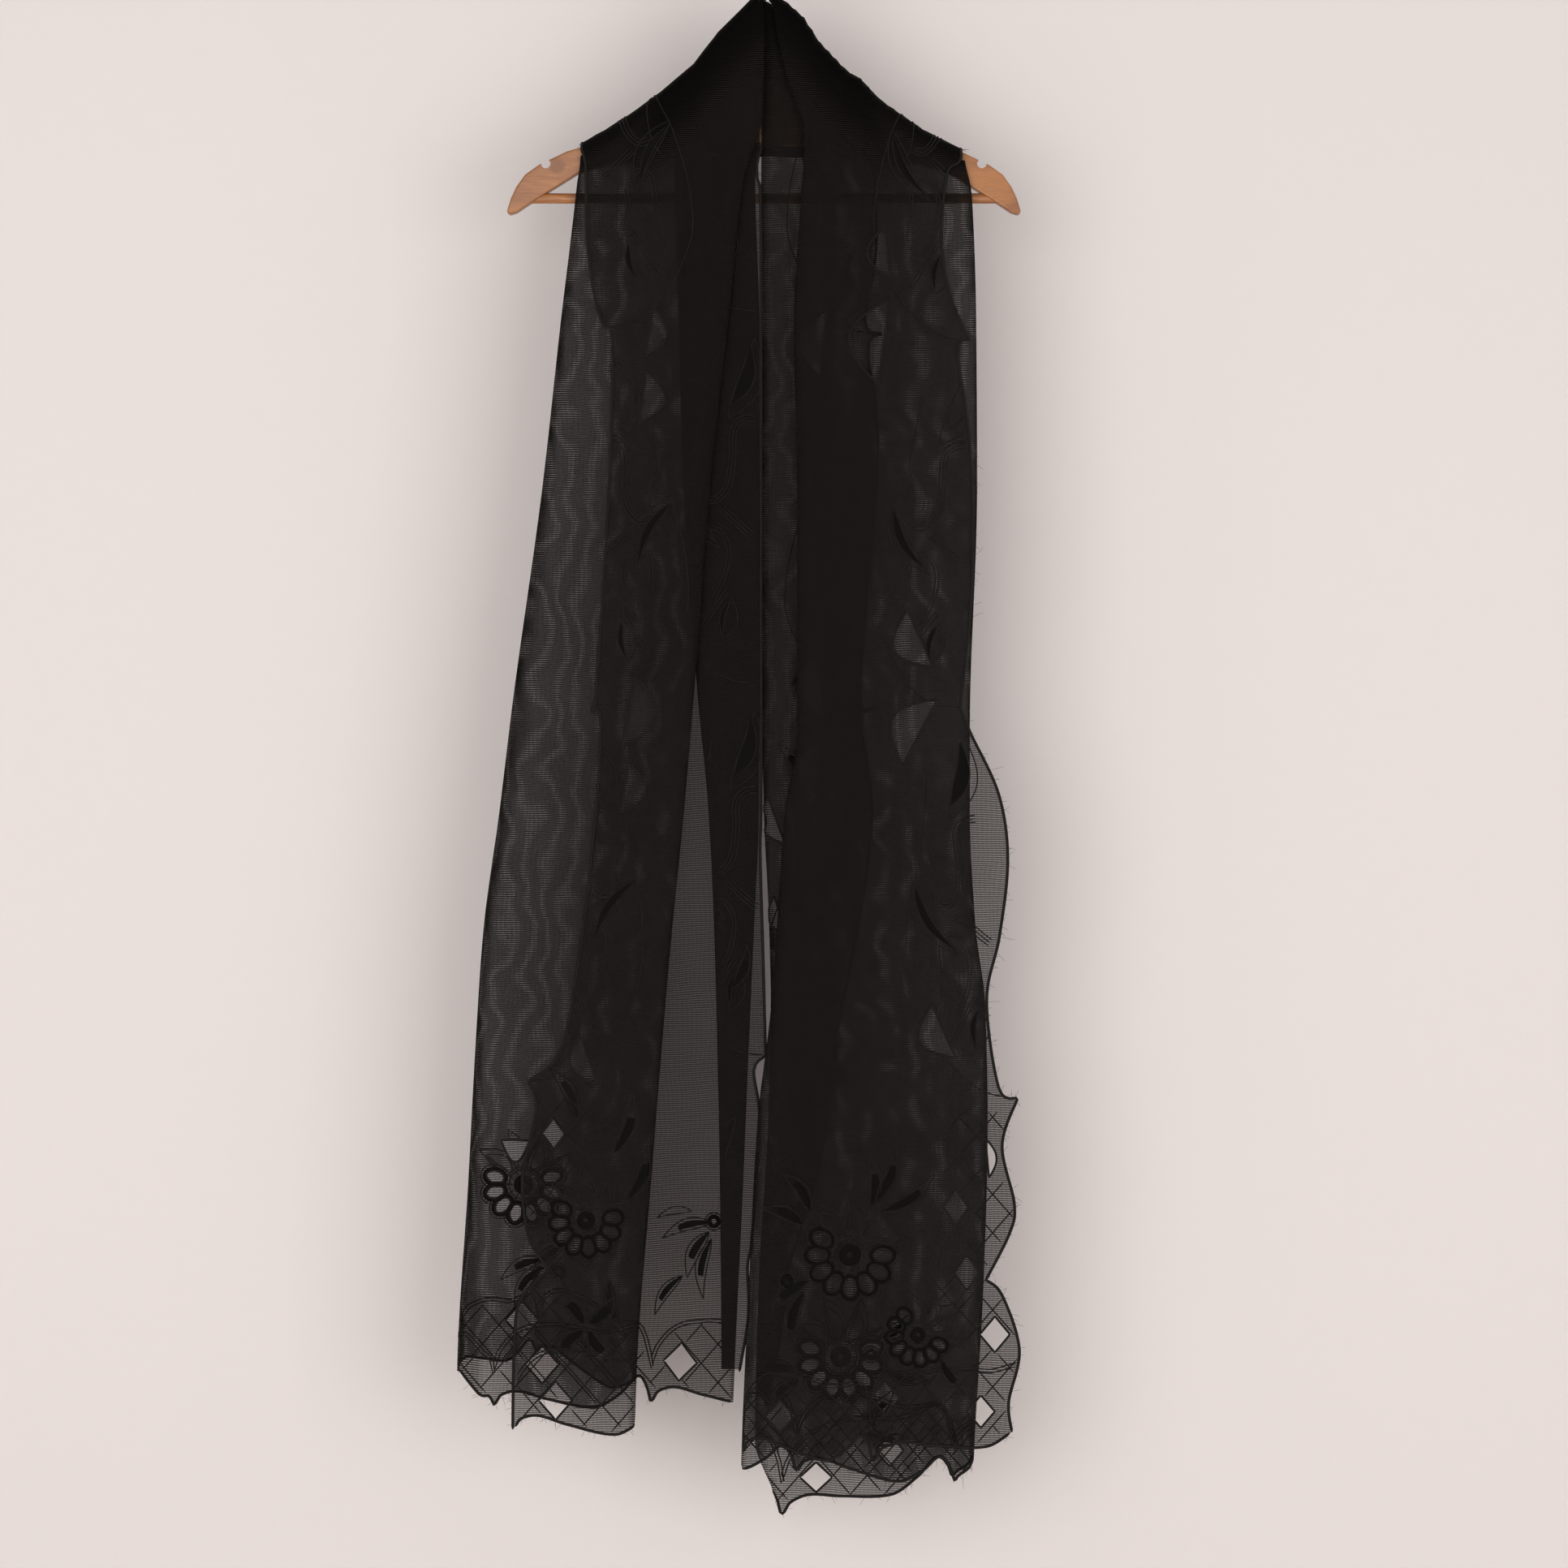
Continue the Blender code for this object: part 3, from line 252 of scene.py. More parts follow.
def varnished_wood(name, ring_scale, roughness):
    """Varnished wood with rings, pores and a knot's darker patches."""
    material, tree, shader = new_material(name)
    place = tree.nodes.new("ShaderNodeTexCoord")
    node = use_group(tree, grain, Ring_Scale=ring_scale)
    tree.links.new(place.outputs["Object"], node.inputs["Vector"])
    patches = noise(tree, place.outputs["Object"], 16.0)
    amount = maths(tree, "MULTIPLY", node.outputs["Rings"], 0.22)
    amount = maths(tree, "ADD", amount, maths(tree, "MULTIPLY", node.outputs["Pores"], 0.35))
    amount = maths(tree, "ADD", amount, maths(tree, "MULTIPLY", patches.outputs["Fac"], 0.35))
    knot = tree.nodes.new("ShaderNodeVectorMath")
    knot.operation = "DISTANCE"
    knot.inputs[1].default_value = KNOT
    tree.links.new(place.outputs["Object"], knot.inputs[0])
    shade = tree.nodes.new("ShaderNodeMapRange")
    shade.interpolation_type = "SMOOTHSTEP"
    shade.inputs["From Max"].default_value = KNOT_REACH
    shade.inputs["To Min"].default_value = 0.6
    shade.inputs["To Max"].default_value = 0.0
    tree.links.new(knot.outputs["Value"], shade.inputs["Value"])
    amount = maths(tree, "ADD", amount, shade.outputs["Result"])
    colours = tree.nodes.new("ShaderNodeValToRGB")
    colours.color_ramp.elements[0].position = 0.25
    colours.color_ramp.elements[0].color = WOOD_LIGHT
    colours.color_ramp.elements[1].position = 0.72
    colours.color_ramp.elements[1].color = WOOD_DARK
    tree.links.new(amount, colours.inputs["Fac"])
    tree.links.new(colours.outputs["Color"], shader.inputs["Base Color"])
    tree.links.new(
        maths(tree, "MULTIPLY_ADD", node.outputs["Pores"], 0.2, roughness), shader.inputs["Roughness"]
    )
    shader.inputs["Coat Weight"].default_value = 0.18
    shader.inputs["Coat Roughness"].default_value = 0.16
    raise_surface(tree, shader, node.outputs["Pores"], 0.0004, 0.35)
    return material


def give(node, material):
    """Assign a material to every slot of a CAD node."""
    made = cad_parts[node]
    for slot in made.material_slots:
        slot.material = material


give("hanger_body", varnished_wood("varnished beech", 30.0, 0.26))
give("hanger_bar", varnished_wood("varnished bar", 44.0, 0.3))


# The wire hook
# Steel wire bent to a round hook, nickel plated, with the hairline marks that a rail leaves.
# Its stem stands in the middle of the wooden body.
plated, tree, shader = new_material("nickel plated wire")
shader.inputs["Metallic"].default_value = 1.0
shader.inputs["Base Color"].default_value = (0.66, 0.65, 0.63, 1.0)
place = tree.nodes.new("ShaderNodeTexCoord")
marks = noise(tree, place.outputs["Object"], 420.0, 5.0)
tree.links.new(maths(tree, "MULTIPLY_ADD", marks.outputs["Fac"], 0.3, 0.1), shader.inputs["Roughness"])
raise_surface(tree, shader, marks.outputs["Fac"], 0.00015, 0.3)
give("hanger_hook", plated)


# The cloth's lie
# One length of sheer organza, folded lengthwise and laid over the hanger, so that both ends fall in
# front. Its folds and layers lie where the solids have them. Across and drop are in millimetres.
MM = 0.001
SEAM_GAP = 0.3
WAVE_HEIGHT = 1.4
WAVE_LENGTH = 150.0
WAVE_START = 60.0
SCALLOP_DEPTH = 21.0
FULL_SCALLOP = 110.0
FRONT_AT_RIDGE = 12.0
BAND_OUTER = 9.6
BAND_INNER = 7.2
BAND_GAP = 0.8
RIDGE_RADIUS = (FRONT_AT_RIDGE + BAND_OUTER) / 2
RIDGE_MIDDLE = (BAND_OUTER - FRONT_AT_RIDGE) / 2
HIDDEN_TOP = 1.5
INNER_TOP = 45.0
TURN_START = 30.0
PLEAT_LAYERS = 4


def table(columns, rows):
    """Rows with named columns."""
    return [dict(zip(columns, row)) for row in rows]


RIDGE = [
    (-160.0, 173.0), (-150.0, 166.7), (-137.0, 159.7), (-109.0, 141.6), (-87.0, 125.0),
    (-61.0, 103.2), (-41.0, 76.7), (-15.0, 50.9), (-3.0, 38.0), (0.0, 36.0), (3.5, 38.0),
    (21.6, 50.9), (35.6, 63.5), (48.8, 84.4), (74.0, 110.9), (83.0, 114.5), (101.0, 134.0),
    (138.0, 159.7), (172.0, 177.0),
]
LEFT_LAYERS = table(
    ("fall", "back", "middle", "front"),
    [
        (0, 7.2, 9.6, 12.0), (45, 7.6, 19.1, 22.3), (250, 8.5, 22.5, 27.5), (1150, 10.0, 26.0, 34.0),
    ],
)
RIGHT_LAYERS = table(
    ("fall", "inner", "back", "middle", "front"),
    [
        (0, 7.4, 7.2, 9.6, 12.0), (45, 7.4, 10.6, 15.0, 19.0), (250, 8.0, 12.0, 19.0, 25.0),
        (1150, 8.5, 13.5, 23.5, 32.0),
    ],
)
LEFT_FOLDS = table(
    ("drop", "outer", "front", "pleat_left", "pleat_right"),
    [
        (30, -157.0, -3.4, -78.0, -3.2), (52, -157.0, 0.5, -78.0, -3.2), (150, -157.0, -0.8, -78.0, -3.5),
        (186, -159.1, -11.2, -77.2, -3.7), (203, -160.4, -16.7, -76.7, -7.4),
        (330, -175.0, -30.7, -73.2, -3.8), (469, -190.4, -46.0, -69.0, -3.7),
        (651, -215.5, -60.0, -56.5, -3.6), (748, -227.3, -68.3, -47.4, -4.2),
        (853, -241.3, -78.8, -42.5, -8.5), (958, -248.3, -87.9, -39.7, -13.2),
        (1062, -253.8, -96.2, -37.7, -17.4), (1229, -263.6, -108.8, -36.3, -25.1),
        (1300, -264.5, -110.5, -36.3, -27.5),
    ],
)
RIGHT_FOLDS = table(
    ("drop", "boundary", "outer", "inner"),
    [
        (30, 3.4, 168.0, -1.6), (51, 6.3, 168.0, -1.6), (112, 18.8, 168.0, -1.8),
        (173, 34.9, 172.0, -2.0), (220, 32.1, 179.2, -2.3), (330, 25.8, 182.7, -2.1),
        (469, 28.6, 183.4, -2.1), (678, 28.6, 177.1, -1.4), (748, 18.1, 177.1, 0.0),
        (847, 11.2, 182.0, 4.6), (915, 6.3, 190.4, 6.0), (1017, -5.6, 192.5, 3.6),
        (1151, -12.6, 189.0, -4.2), (1289, -18.8, 181.3, -7.7), (1345, -20.2, 179.2, 9.8),
    ],
)
# free edges: across, drop, and 1 where a leaf tip or a notch makes a corner
LEFT_OUTER_EDGE = [
    (-157.0, 178.0, 1), (-153.0, 196.0, 0), (-151.3, 260.1, 0), (-144.4, 308.9, 0),
    (-136.7, 333.3, 1), (-129.7, 347.3, 0), (-132.4, 469.3, 0), (-143.7, 647.1, 0),
    (-147.8, 659.0, 1), (-139.5, 671.5, 0), (-143.7, 748.3, 0), (-155.5, 852.9, 0),
    (-172.9, 950.5, 0), (-201.5, 979.1, 1), (-194.6, 1003.5, 0), (-206.4, 1059.3, 0),
    (-201.5, 1110.9, 0), (-184.1, 1140.2, 1), (-208.5, 1166.7, 0), (-213.4, 1205.0, 0),
    (-214.8, 1276.8, 1),
]
RIGHT_OUTER_EDGE = [
    (170.0, 185.0, 1), (167.5, 190.0, 0), (157.5, 201.0, 0), (152.7, 260.1, 0), (161.1, 308.9, 0),
    (177.1, 343.8, 1), (166.7, 355.0, 0), (177.5, 440.0, 0), (178.5, 553.0, 0),
    (168.8, 659.0, 1), (177.1, 680.6, 0), (201.5, 733.6, 0), (209.2, 789.4, 0),
    (202.2, 854.3, 0), (191.1, 910.0, 0), (201.5, 985.0, 0), (217.6, 993.7, 1),
    (204.3, 1034.2, 0), (214.8, 1084.4, 0), (210.6, 1109.5, 0), (190.4, 1149.2, 1),
    (204.3, 1162.5, 0), (219.0, 1209.2, 0), (209.9, 1253.8, 0), (212.7, 1279.6, 1),
]
LEFT_INNER_EDGE = [
    (-2.4, 173.0, 1), (-2.6, 181.0, 0), (-5.6, 190.0, 0), (-5.4, 206.0, 0), (-2.8, 222.0, 0),
    (-2.3, 345.0, 0), (-2.4, 540.0, 0), (-2.2, 735.0, 0),
    (-3.0, 785.0, 0), (-0.5, 873.8, 0),
    (1.6, 957.5, 1), (-8.4, 970.0, 0), (-3.5, 1010.0, 0), (-7.0, 1076.0, 0),
    (-11.2, 1124.8, 1), (-13.9, 1138.8, 0), (-13.2, 1180.6, 0), (-20.9, 1228.7, 1),
]
RIGHT_INNER_EDGE = [
    (93.4, 150.0, 1), (96.9, 260.1, 0), (87.2, 326.4, 0), (102.5, 336.8, 1), (90.0, 350.8, 0),
    (98.3, 441.4, 0), (83.0, 643.7, 0), (96.9, 656.2, 1), (84.4, 671.5, 0), (93.4, 748.3, 0),
    (83.0, 838.9, 0), (62.1, 950.5, 0), (73.2, 977.0, 1), (56.5, 992.3, 0), (48.1, 1055.1, 0),
    (21.6, 1138.8, 1), (18.8, 1166.7, 0), (9.8, 1222.5, 0), (1.5, 1262.0, 1),
]
# hems: across and drop of each scallop's tip
HEMS = {
    "left_front": [(-214.8, 1276.8), (-78.8, 1279.6)],
    "left_middle": [(-264.6, 1228.0), (-232.2, 1258.0), (-96.2, 1255.2)],
    "left_back": [(-264.6, 1227.0), (-196.0, 1214.0), (-97.6, 1256.6), (38.4, 1254.5)],
    "right_front": [(-133.2, 1295.7), (-18.8, 1295.7), (93.4, 1304.0), (245.0, 1281.0)],
    "right_middle": [(-105.3, 1299.2), (27.9, 1314.5), (164.0, 1323.0), (183.0, 1304.0)],
    "right_back": [(-120.0, 1310.0), (15.3, 1353.6), (162.5, 1321.0), (183.0, 1302.0)],
    "right_inner": [(-120.0, 1262.0), (1.5, 1262.0), (140.0, 1262.0)],
}
SCALLOP = table(
    ("part", "rise"),
    [
        (0.00, 0.00), (0.05, 0.45), (0.14, 0.60), (0.34, 0.26), (0.64, -0.13), (0.80, 0.39), (0.91, 1.00),
        (0.97, 0.62), (1.00, 0.00),
    ],
)
# soft creases: across at the top and the bottom, first and last drop, height and half width
CREASES = [
    ("left_middle", -148.0, -226.0, 230.0, 1180.0, 1.6, 7.0),
    ("left_middle", -120.0, -176.0, 330.0, 900.0, 1.1, 11.0),
    ("left_middle", -104.0, -134.0, 620.0, 1210.0, 1.4, 9.0),
    ("left_front", -58.0, -92.0, 200.0, 760.0, 1.3, 12.0),
    ("left_front", -92.0, -128.0, 420.0, 1060.0, -1.2, 8.0),
    ("left_front", -30.0, -64.0, 150.0, 560.0, 1.5, 7.0),
    ("left_front", -150.0, -188.0, 820.0, 1240.0, 1.0, 10.0),
    ("left_back", -60.0, -78.0, 500.0, 1190.0, 0.8, 10.0),
    ("left_back", -120.0, -190.0, 300.0, 1020.0, -0.7, 14.0),
    ("right_front", 52.0, 44.0, 180.0, 820.0, 1.5, 7.0),
    ("right_front", 84.0, 58.0, 260.0, 1120.0, -1.2, 11.0),
    ("right_front", 118.0, 142.0, 220.0, 640.0, 1.2, 8.0),
    ("right_front", 146.0, 176.0, 520.0, 1190.0, 1.0, 12.0),
    ("right_front", 20.0, 26.0, 760.0, 1230.0, 1.7, 9.0),
    ("right_middle", 74.0, 110.0, 380.0, 1080.0, 1.1, 10.0),
    ("right_middle", 140.0, 160.0, 600.0, 1260.0, 1.0, 9.0),
    ("right_back", 34.0, 70.0, 300.0, 1240.0, -0.8, 12.0),
    ("right_back", 120.0, 100.0, 700.0, 1180.0, 0.7, 9.0),
    ("right_inner", 30.0, 24.0, 240.0, 900.0, 0.5, 9.0),
]


def smooth(rows, key, name, at):
    """A table's column at many places, with smooth slopes and no overshoot."""
    knots = np.array([row[key] for row in rows], float)
    values = np.array([row[name] for row in rows], float)
    steps = np.diff(values) / np.diff(knots)
    slopes = np.zeros(len(values))
    before, after = steps[:-1], steps[1:]
    same = before * after > 0
    slopes[1:-1][same] = 2 * before[same] * after[same] / (before[same] + after[same])
    at = np.clip(at, knots[0], knots[-1])
    i = np.clip(np.searchsorted(knots, at, side="right") - 1, 0, len(knots) - 2)
    span = knots[i + 1] - knots[i]
    t = (at - knots[i]) / span
    bend = slopes[i] * span * t * (1 - t) ** 2 - slopes[i + 1] * span * t * t * (1 - t)
    return values[i] + (values[i + 1] - values[i]) * t * t * (3 - 2 * t) + bend


def ridge_base(across):
    """Drop where the round over the hanger starts."""
    return np.interp(across, [x for x, d in RIDGE], [d for x, d in RIDGE]) + RIDGE_RADIUS


def eased(value):
    """Smooth step from 0 to 1."""
    value = np.clip(value, 0.0, 1.0)
    return value * value * (3 - 2 * value)


def wave(across, fall):
    """Soft waves that all layers share."""
    swing = np.sin(math.tau * across / WAVE_LENGTH + fall / 420)
    return -WAVE_HEIGHT * eased(fall / WAVE_START) * (1 + swing)


def layer_depth(layers, name, across, drop):
    """Distance of a layer from the hanger's middle plane."""
    return smooth(layers, "fall", name, np.maximum(0.0, drop - ridge_base(across)))


def crease_height(panel, across, drop):
    """How far the creases of a panel stand out, at many places."""
    out = np.zeros(np.shape(across))
    for name, top, bottom, first, last, height, half in CREASES:
        if name != panel:
            continue
        part = (drop - first) / (last - first)
        line = top + (bottom - top) * part + 5.0 * np.sin(part * 7.0 + top)
        fade = eased(part * 4) * eased((1 - part) * 3)
        out += height * fade * np.exp(-((across - line) / half) ** 2)
    return out


class Fall:
    """One stretch of cloth between two edges, each a fold or free."""

    def __init__(self, name, layers, folds, layer, left=None, right=None, wraps=False):
        self.name = name
        self.layers = layers
        self.folds = folds
        self.layer = layer
        self.left = left
        self.right = right
        self.wraps = wraps

    def turn(self, side, drop):
        """Fold line, radius and direction of the turn at a fold edge."""
        fold, neighbour = side
        line = smooth(self.folds, "drop", fold, drop)
        mine = layer_depth(self.layers, self.layer, line, drop)
        if neighbour == "pleat1":
            other = pleat_depth(1, line, drop)
        else:
            other = layer_depth(self.layers, neighbour, line, drop)
        radius = np.maximum(0.4, (np.abs(mine - other) - SEAM_GAP) / 2)
        return line, radius, np.where(other < mine, 1.0, -1.0)

    def limit(self, side, drop):
        """Chart position of a fold edge."""
        line, radius, sign = self.turn(side, drop)
        share = eased((drop - ridge_base(line)) / TURN_START)
        beyond = (math.pi / 2 * share - 1) * radius
        return line - beyond if side is self.left else line + beyond

    def place(self, across, drop):
        """Points of the cloth for places on its flat chart."""
        across = np.asarray(across, float)
        drop = np.asarray(drop, float)
        x = across.copy()
        inward = np.zeros(len(x))
        for side, way in ((self.left, -1.0), (self.right, 1.0)):
            if side is None:
                continue
            line, radius, sign = self.turn(side, drop)
            start = line - way * radius
            past = way * (across - start)
            angle = np.maximum(past, 0) / radius
            x = np.where(past > 0, start + way * radius * np.sin(angle), x)
            inward = np.where(past > 0, sign * radius * (1 - np.cos(angle)), inward)
        depth = layer_depth(self.layers, self.layer, x, drop) - inward
        base = ridge_base(x)
        hang = -depth + wave(x, drop - base) - crease_height(self.name, across, drop)
        points = np.stack((x, hang, -drop), axis=1)
        if self.wraps:
            over = drop < base
            angle = (base - drop) / RIDGE_RADIUS
            radius = RIDGE_RADIUS - (FRONT_AT_RIDGE - depth)
            points[over, 1] = (RIDGE_MIDDLE - radius * np.cos(angle))[over]
            points[over, 2] = (radius * np.sin(angle) - base)[over]
        return points * MM


def pleat_depth(number, across, drop):
    """Depth of one of the inner pleat's four layers, spread between back and middle."""
    back = layer_depth(LEFT_LAYERS, "back", across, drop)
    middle = layer_depth(LEFT_LAYERS, "middle", across, drop)
    return back + (middle - back) * number / (PLEAT_LAYERS + 1)


def edge_curve(rows, step):
    """Smooth line through an edge's rows, with its corners kept."""
    points = []
    for i in range(len(rows) - 1):
        b = np.array(rows[i][:2])
        c = np.array(rows[i + 1][:2])
        a = b if rows[i][2] or i == 0 else np.array(rows[i - 1][:2])
        d = c if rows[i + 1][2] or i + 2 >= len(rows) else np.array(rows[i + 2][:2])
        count = max(1, round(math.dist(b, c) / step))
        for t in np.arange(count) / count:
            points.append(0.5 * (2 * b + (c - a) * t + (2 * a - 5 * b + 4 * c - d) * t ** 2
                                 + (3 * b - a - 3 * c + d) * t ** 3))
    points.append(np.array(rows[-1][:2]))
    return np.array(points)


def hem_drop(tips, across):
    """Drop of a scalloped hem at many places across."""
    xs = np.array([x for x, d in tips])
    ds = np.array([d for x, d in tips])
    i = np.clip(np.searchsorted(xs, across, side="right") - 1, 0, len(xs) - 2)
    span = xs[i + 1] - xs[i]
    part = np.clip((across - xs[i]) / span, 0, 1)
    line = ds[i] + (ds[i + 1] - ds[i]) * part
    depth = SCALLOP_DEPTH * np.minimum(1.0, span / FULL_SCALLOP)
    return line - depth * smooth(SCALLOP, "part", "rise", part)


left = (LEFT_LAYERS, LEFT_FOLDS)
right = (RIGHT_LAYERS, RIGHT_FOLDS)
FALLS = {
    "left_front": Fall("left_front", *left, "front", right=("front", "middle"), wraps=True),
    "left_middle": Fall("left_middle", *left, "middle", ("outer", "back"), ("front", "front")),
    "left_back": Fall("left_back", *left, "back", ("outer", "middle"), ("pleat_right", "pleat1")),
    "right_front": Fall("right_front", *right, "front", left=("boundary", "middle"), wraps=True),
    "right_middle": Fall("right_middle", *right, "middle", ("boundary", "front"), ("outer", "back")),
    "right_back": Fall("right_back", *right, "back", ("inner", "inner"), ("outer", "middle")),
    "right_inner": Fall("right_inner", *right, "inner", left=("inner", "back")),
}
FREE_EDGES = {
    "left_front": ("left", LEFT_OUTER_EDGE),
    "right_front": ("right", RIGHT_OUTER_EDGE),
    "right_inner": ("right", RIGHT_INNER_EDGE),
}


# The organza and its cut-outs
# A plain weave of fine black yarn with a thicker pick every two millimetres. The material shows it as ribs
# that run across. The cut-outs are trimmed away inside their corded outlines.
FINE_STEP = 7.0
# panel, kind, across, drop, length, width, turn in degrees
CUTS = [
    ("left_front", "leaf", -98.0, 337.0, 44.0, 15.0, -80.0),
    ("left_front", "leaf", -103.5, 393.0, 45.0, 19.0, -82.0),
    ("left_front", "leaf", -116.0, 662.0, 62.0, 25.0, -80.0),
    ("left_front", "leaf", -119.0, 728.0, 44.0, 18.0, -82.0),
    ("left_front", "leaf", -150.0, 960.0, 46.0, 16.0, 70.0),
    ("left_front", "diamond", -178.0, 1252.0, 29.0, 33.0, 0.0),
    ("left_front", "flower", -152.0, 1098.0, 46.0, 13.0, 10.0),
    ("left_front", "diamond", -180.0, 1024.0, 20.0, 27.0, 0.0),
    ("left_middle", "diamond", -180.0, 1024.0, 20.0, 27.0, 0.0),
    ("left_middle", "leaf", -213.0, 1030.0, 25.0, 19.0, 0.0),
    ("left_middle", "flower", -206.0, 1068.0, 50.0, 15.0, 0.0),
    ("left_middle", "diamond", -190.0, 1222.0, 29.0, 33.0, 0.0),
    ("left_back", "diamond", -72.0, 1222.0, 29.0, 33.0, 4.0),
    ("left_back", "diamond", -208.0, 1186.0, 29.0, 33.0, 0.0),
    ("right_front", "leaf", 106.0, 268.0, 44.0, 17.0, 84.0),
    ("right_front", "leaf", 103.0, 345.0, 74.0, 30.0, 97.0),
    ("right_front", "leaf", 134.0, 600.0, 54.0, 24.0, 66.0),
    ("right_front", "leaf", 134.0, 680.0, 64.0, 26.0, 118.0),
    ("right_front", "leaf", 154.0, 936.0, 50.0, 22.0, 66.0),
    ("right_front", "flower", 74.0, 1128.0, 56.0, 16.0, 15.0),
    ("right_front", "flower", 132.0, 1196.0, 40.0, 11.0, 40.0),
    ("right_front", "leaf", 191.5, 1045.0, 34.0, 8.0, -95.0),
    ("right_front", "diamond", 164.5, 1087.0, 21.0, 32.0, 0.0),
    ("right_front", "diamond", 174.0, 1143.0, 21.0, 31.0, 0.0),
    ("right_front", "diamond", 104.0, 1250.0, 25.0, 29.0, 0.0),
    ("right_front", "diamond", 14.0, 1266.0, 25.0, 28.0, 0.0),
    ("right_front", "diamond", 198.0, 1196.0, 26.0, 31.0, 0.0),
    ("right_front", "diamond", 186.0, 1262.0, 24.0, 28.0, 0.0),
    ("right_middle", "flower", 66.0, 1216.0, 54.0, 16.0, 0.0),
    ("right_middle", "diamond", 108.0, 1296.0, 24.0, 28.0, 0.0),
    ("right_back", "diamond", 45.0, 1321.0, 28.0, 26.0, 0.0),
    ("right_back", "leaf", 11.0, 756.0, 44.0, 15.0, 70.0),
    ("right_back", "leaf", 14.0, 838.0, 36.0, 11.0, 74.0),
    ("right_inner", "leaf", 52.0, 345.0, 60.0, 22.0, 96.0),
    ("right_inner", "leaf", 50.0, 640.0, 60.0, 22.0, 82.0),
    ("right_inner", "leaf", 48.0, 712.0, 56.0, 20.0, 98.0),
]
PETALS = 8
PETAL_LONG = 0.52
PETAL_WIDE = 0.36
FLOWER_SPREAD = 210
FLOWER_START = 15

weave, entry, leave = new_group(
    "organza weave",
    [("Vector", "NodeSocketVector", None), ("Rib Pitch", "NodeSocketFloat", 0.0019),
     ("Rib Cover", "NodeSocketFloat", 0.86), ("Gap Cover", "NodeSocketFloat", 0.25),
     ("Warp Pitch", "NodeSocketFloat", 0.0038)],
    [("Cover", "NodeSocketFloat"), ("Ribs", "NodeSocketFloat")],
)
place = weave.nodes.new("ShaderNodeSeparateXYZ")
weave.links.new(entry.outputs["Vector"], place.inputs["Vector"])
drift = noise(weave, entry.outputs["Vector"], 22.0, 1.0)
down = maths(weave, "MULTIPLY_ADD", drift.outputs["Fac"], 0.0036, place.outputs["Y"])
turns = maths(weave, "DIVIDE", maths(weave, "MULTIPLY", down, math.tau), entry.outputs["Rib Pitch"])
swing = maths(weave, "SINE", turns)
gaps = weave.nodes.new("ShaderNodeMapRange")
gaps.interpolation_type = "SMOOTHSTEP"
gaps.inputs["From Min"].default_value = 0.3
gaps.inputs["From Max"].default_value = 0.9
weave.links.new(swing, gaps.inputs["Value"])
along = maths(weave, "MULTIPLY_ADD", drift.outputs["Fac"], 0.012, place.outputs["X"])
warps = maths(weave, "DIVIDE", maths(weave, "MULTIPLY", along, math.tau), entry.outputs["Warp Pitch"])
open_share = maths(weave, "MULTIPLY_ADD", maths(weave, "SINE", warps), 0.13, 0.80)
cover = weave.nodes.new("ShaderNodeMapRange")
weave.links.new(maths(weave, "MULTIPLY", gaps.outputs["Result"], open_share), cover.inputs["Value"])
weave.links.new(entry.outputs["Rib Cover"], cover.inputs["To Min"])
weave.links.new(entry.outputs["Gap Cover"], cover.inputs["To Max"])
uneven = noise(weave, entry.outputs["Vector"], 700.0, 1.0)
slub = maths(weave, "MULTIPLY_ADD", uneven.outputs["Fac"], 0.16, -0.08)
cloudy = noise(weave, entry.outputs["Vector"], 11.0, 3.0)
cloud = maths(weave, "MULTIPLY_ADD", cloudy.outputs["Fac"], 0.12, -0.06)
cover = maths(weave, "ADD", maths(weave, "ADD", cover.outputs["Result"], slub), cloud)
weave.links.new(cover, leave.inputs["Cover"])
weave.links.new(maths(weave, "MULTIPLY_ADD", swing, -0.5, 0.5), leave.inputs["Ribs"])


def organza_material(name, rib_cover, gap_cover):
    """Sheer black organza with cross ribs, denser where it is folded or gathered; its ribs carry a painted
    sheen, which painted shade darkens where the cloth is gathered.
    """
    material, tree, shader = new_material(name)
    flat = tree.nodes.new("ShaderNodeUVMap")
    flat.uv_map = "chart"
    node = use_group(tree, weave, Rib_Cover=rib_cover, Gap_Cover=gap_cover)
    tree.links.new(flat.outputs["UV"], node.inputs["Vector"])
    bunched_and_shaded = tree.nodes.new("ShaderNodeAttribute")
    bunched_and_shaded.attribute_name = "bunched_and_shaded"
    solid = tree.nodes.new("ShaderNodeClamp")
    tree.links.new(maths(tree, "ADD", node.outputs["Cover"], bunched_and_shaded.outputs["Fac"]), solid.inputs["Value"])
    tree.links.new(solid.outputs["Result"], shader.inputs["Alpha"])
    # The yarn colour is lighter on the ribs: a painted sheen, with painted light scattered between the
    # layers.
    yarn = tree.nodes.new("ShaderNodeValToRGB")
    yarn.color_ramp.elements[0].color = (0.0014, 0.0012, 0.0011, 1.0)
    yarn.color_ramp.elements[1].color = (0.0140, 0.0118, 0.0103, 1.0)
    # The gathered-cloth mask also darkens the yarn colour here: painted shade at the neck, over the ridge,
    # along the doubled strip, on the neck band and in the turn of the folds.
    unshaded_share = maths(tree, "MULTIPLY_ADD", bunched_and_shaded.outputs["Fac"], -1.65, 1.0)
    tree.links.new(maths(tree, "MULTIPLY", node.outputs["Ribs"], unshaded_share), yarn.inputs["Fac"])
    tree.links.new(yarn.outputs["Color"], shader.inputs["Base Color"])
    tree.links.new(maths(tree, "MULTIPLY_ADD", node.outputs["Ribs"], -0.2, 0.75), shader.inputs["Roughness"])
    shader.inputs["Specular IOR Level"].default_value = 0.035
    shader.inputs["Sheen Weight"].default_value = 0.004
    raise_surface(tree, shader, node.outputs["Ribs"], 0.0002, 0.4)
    return material


organza = organza_material("black organza", 0.85, 0.31)


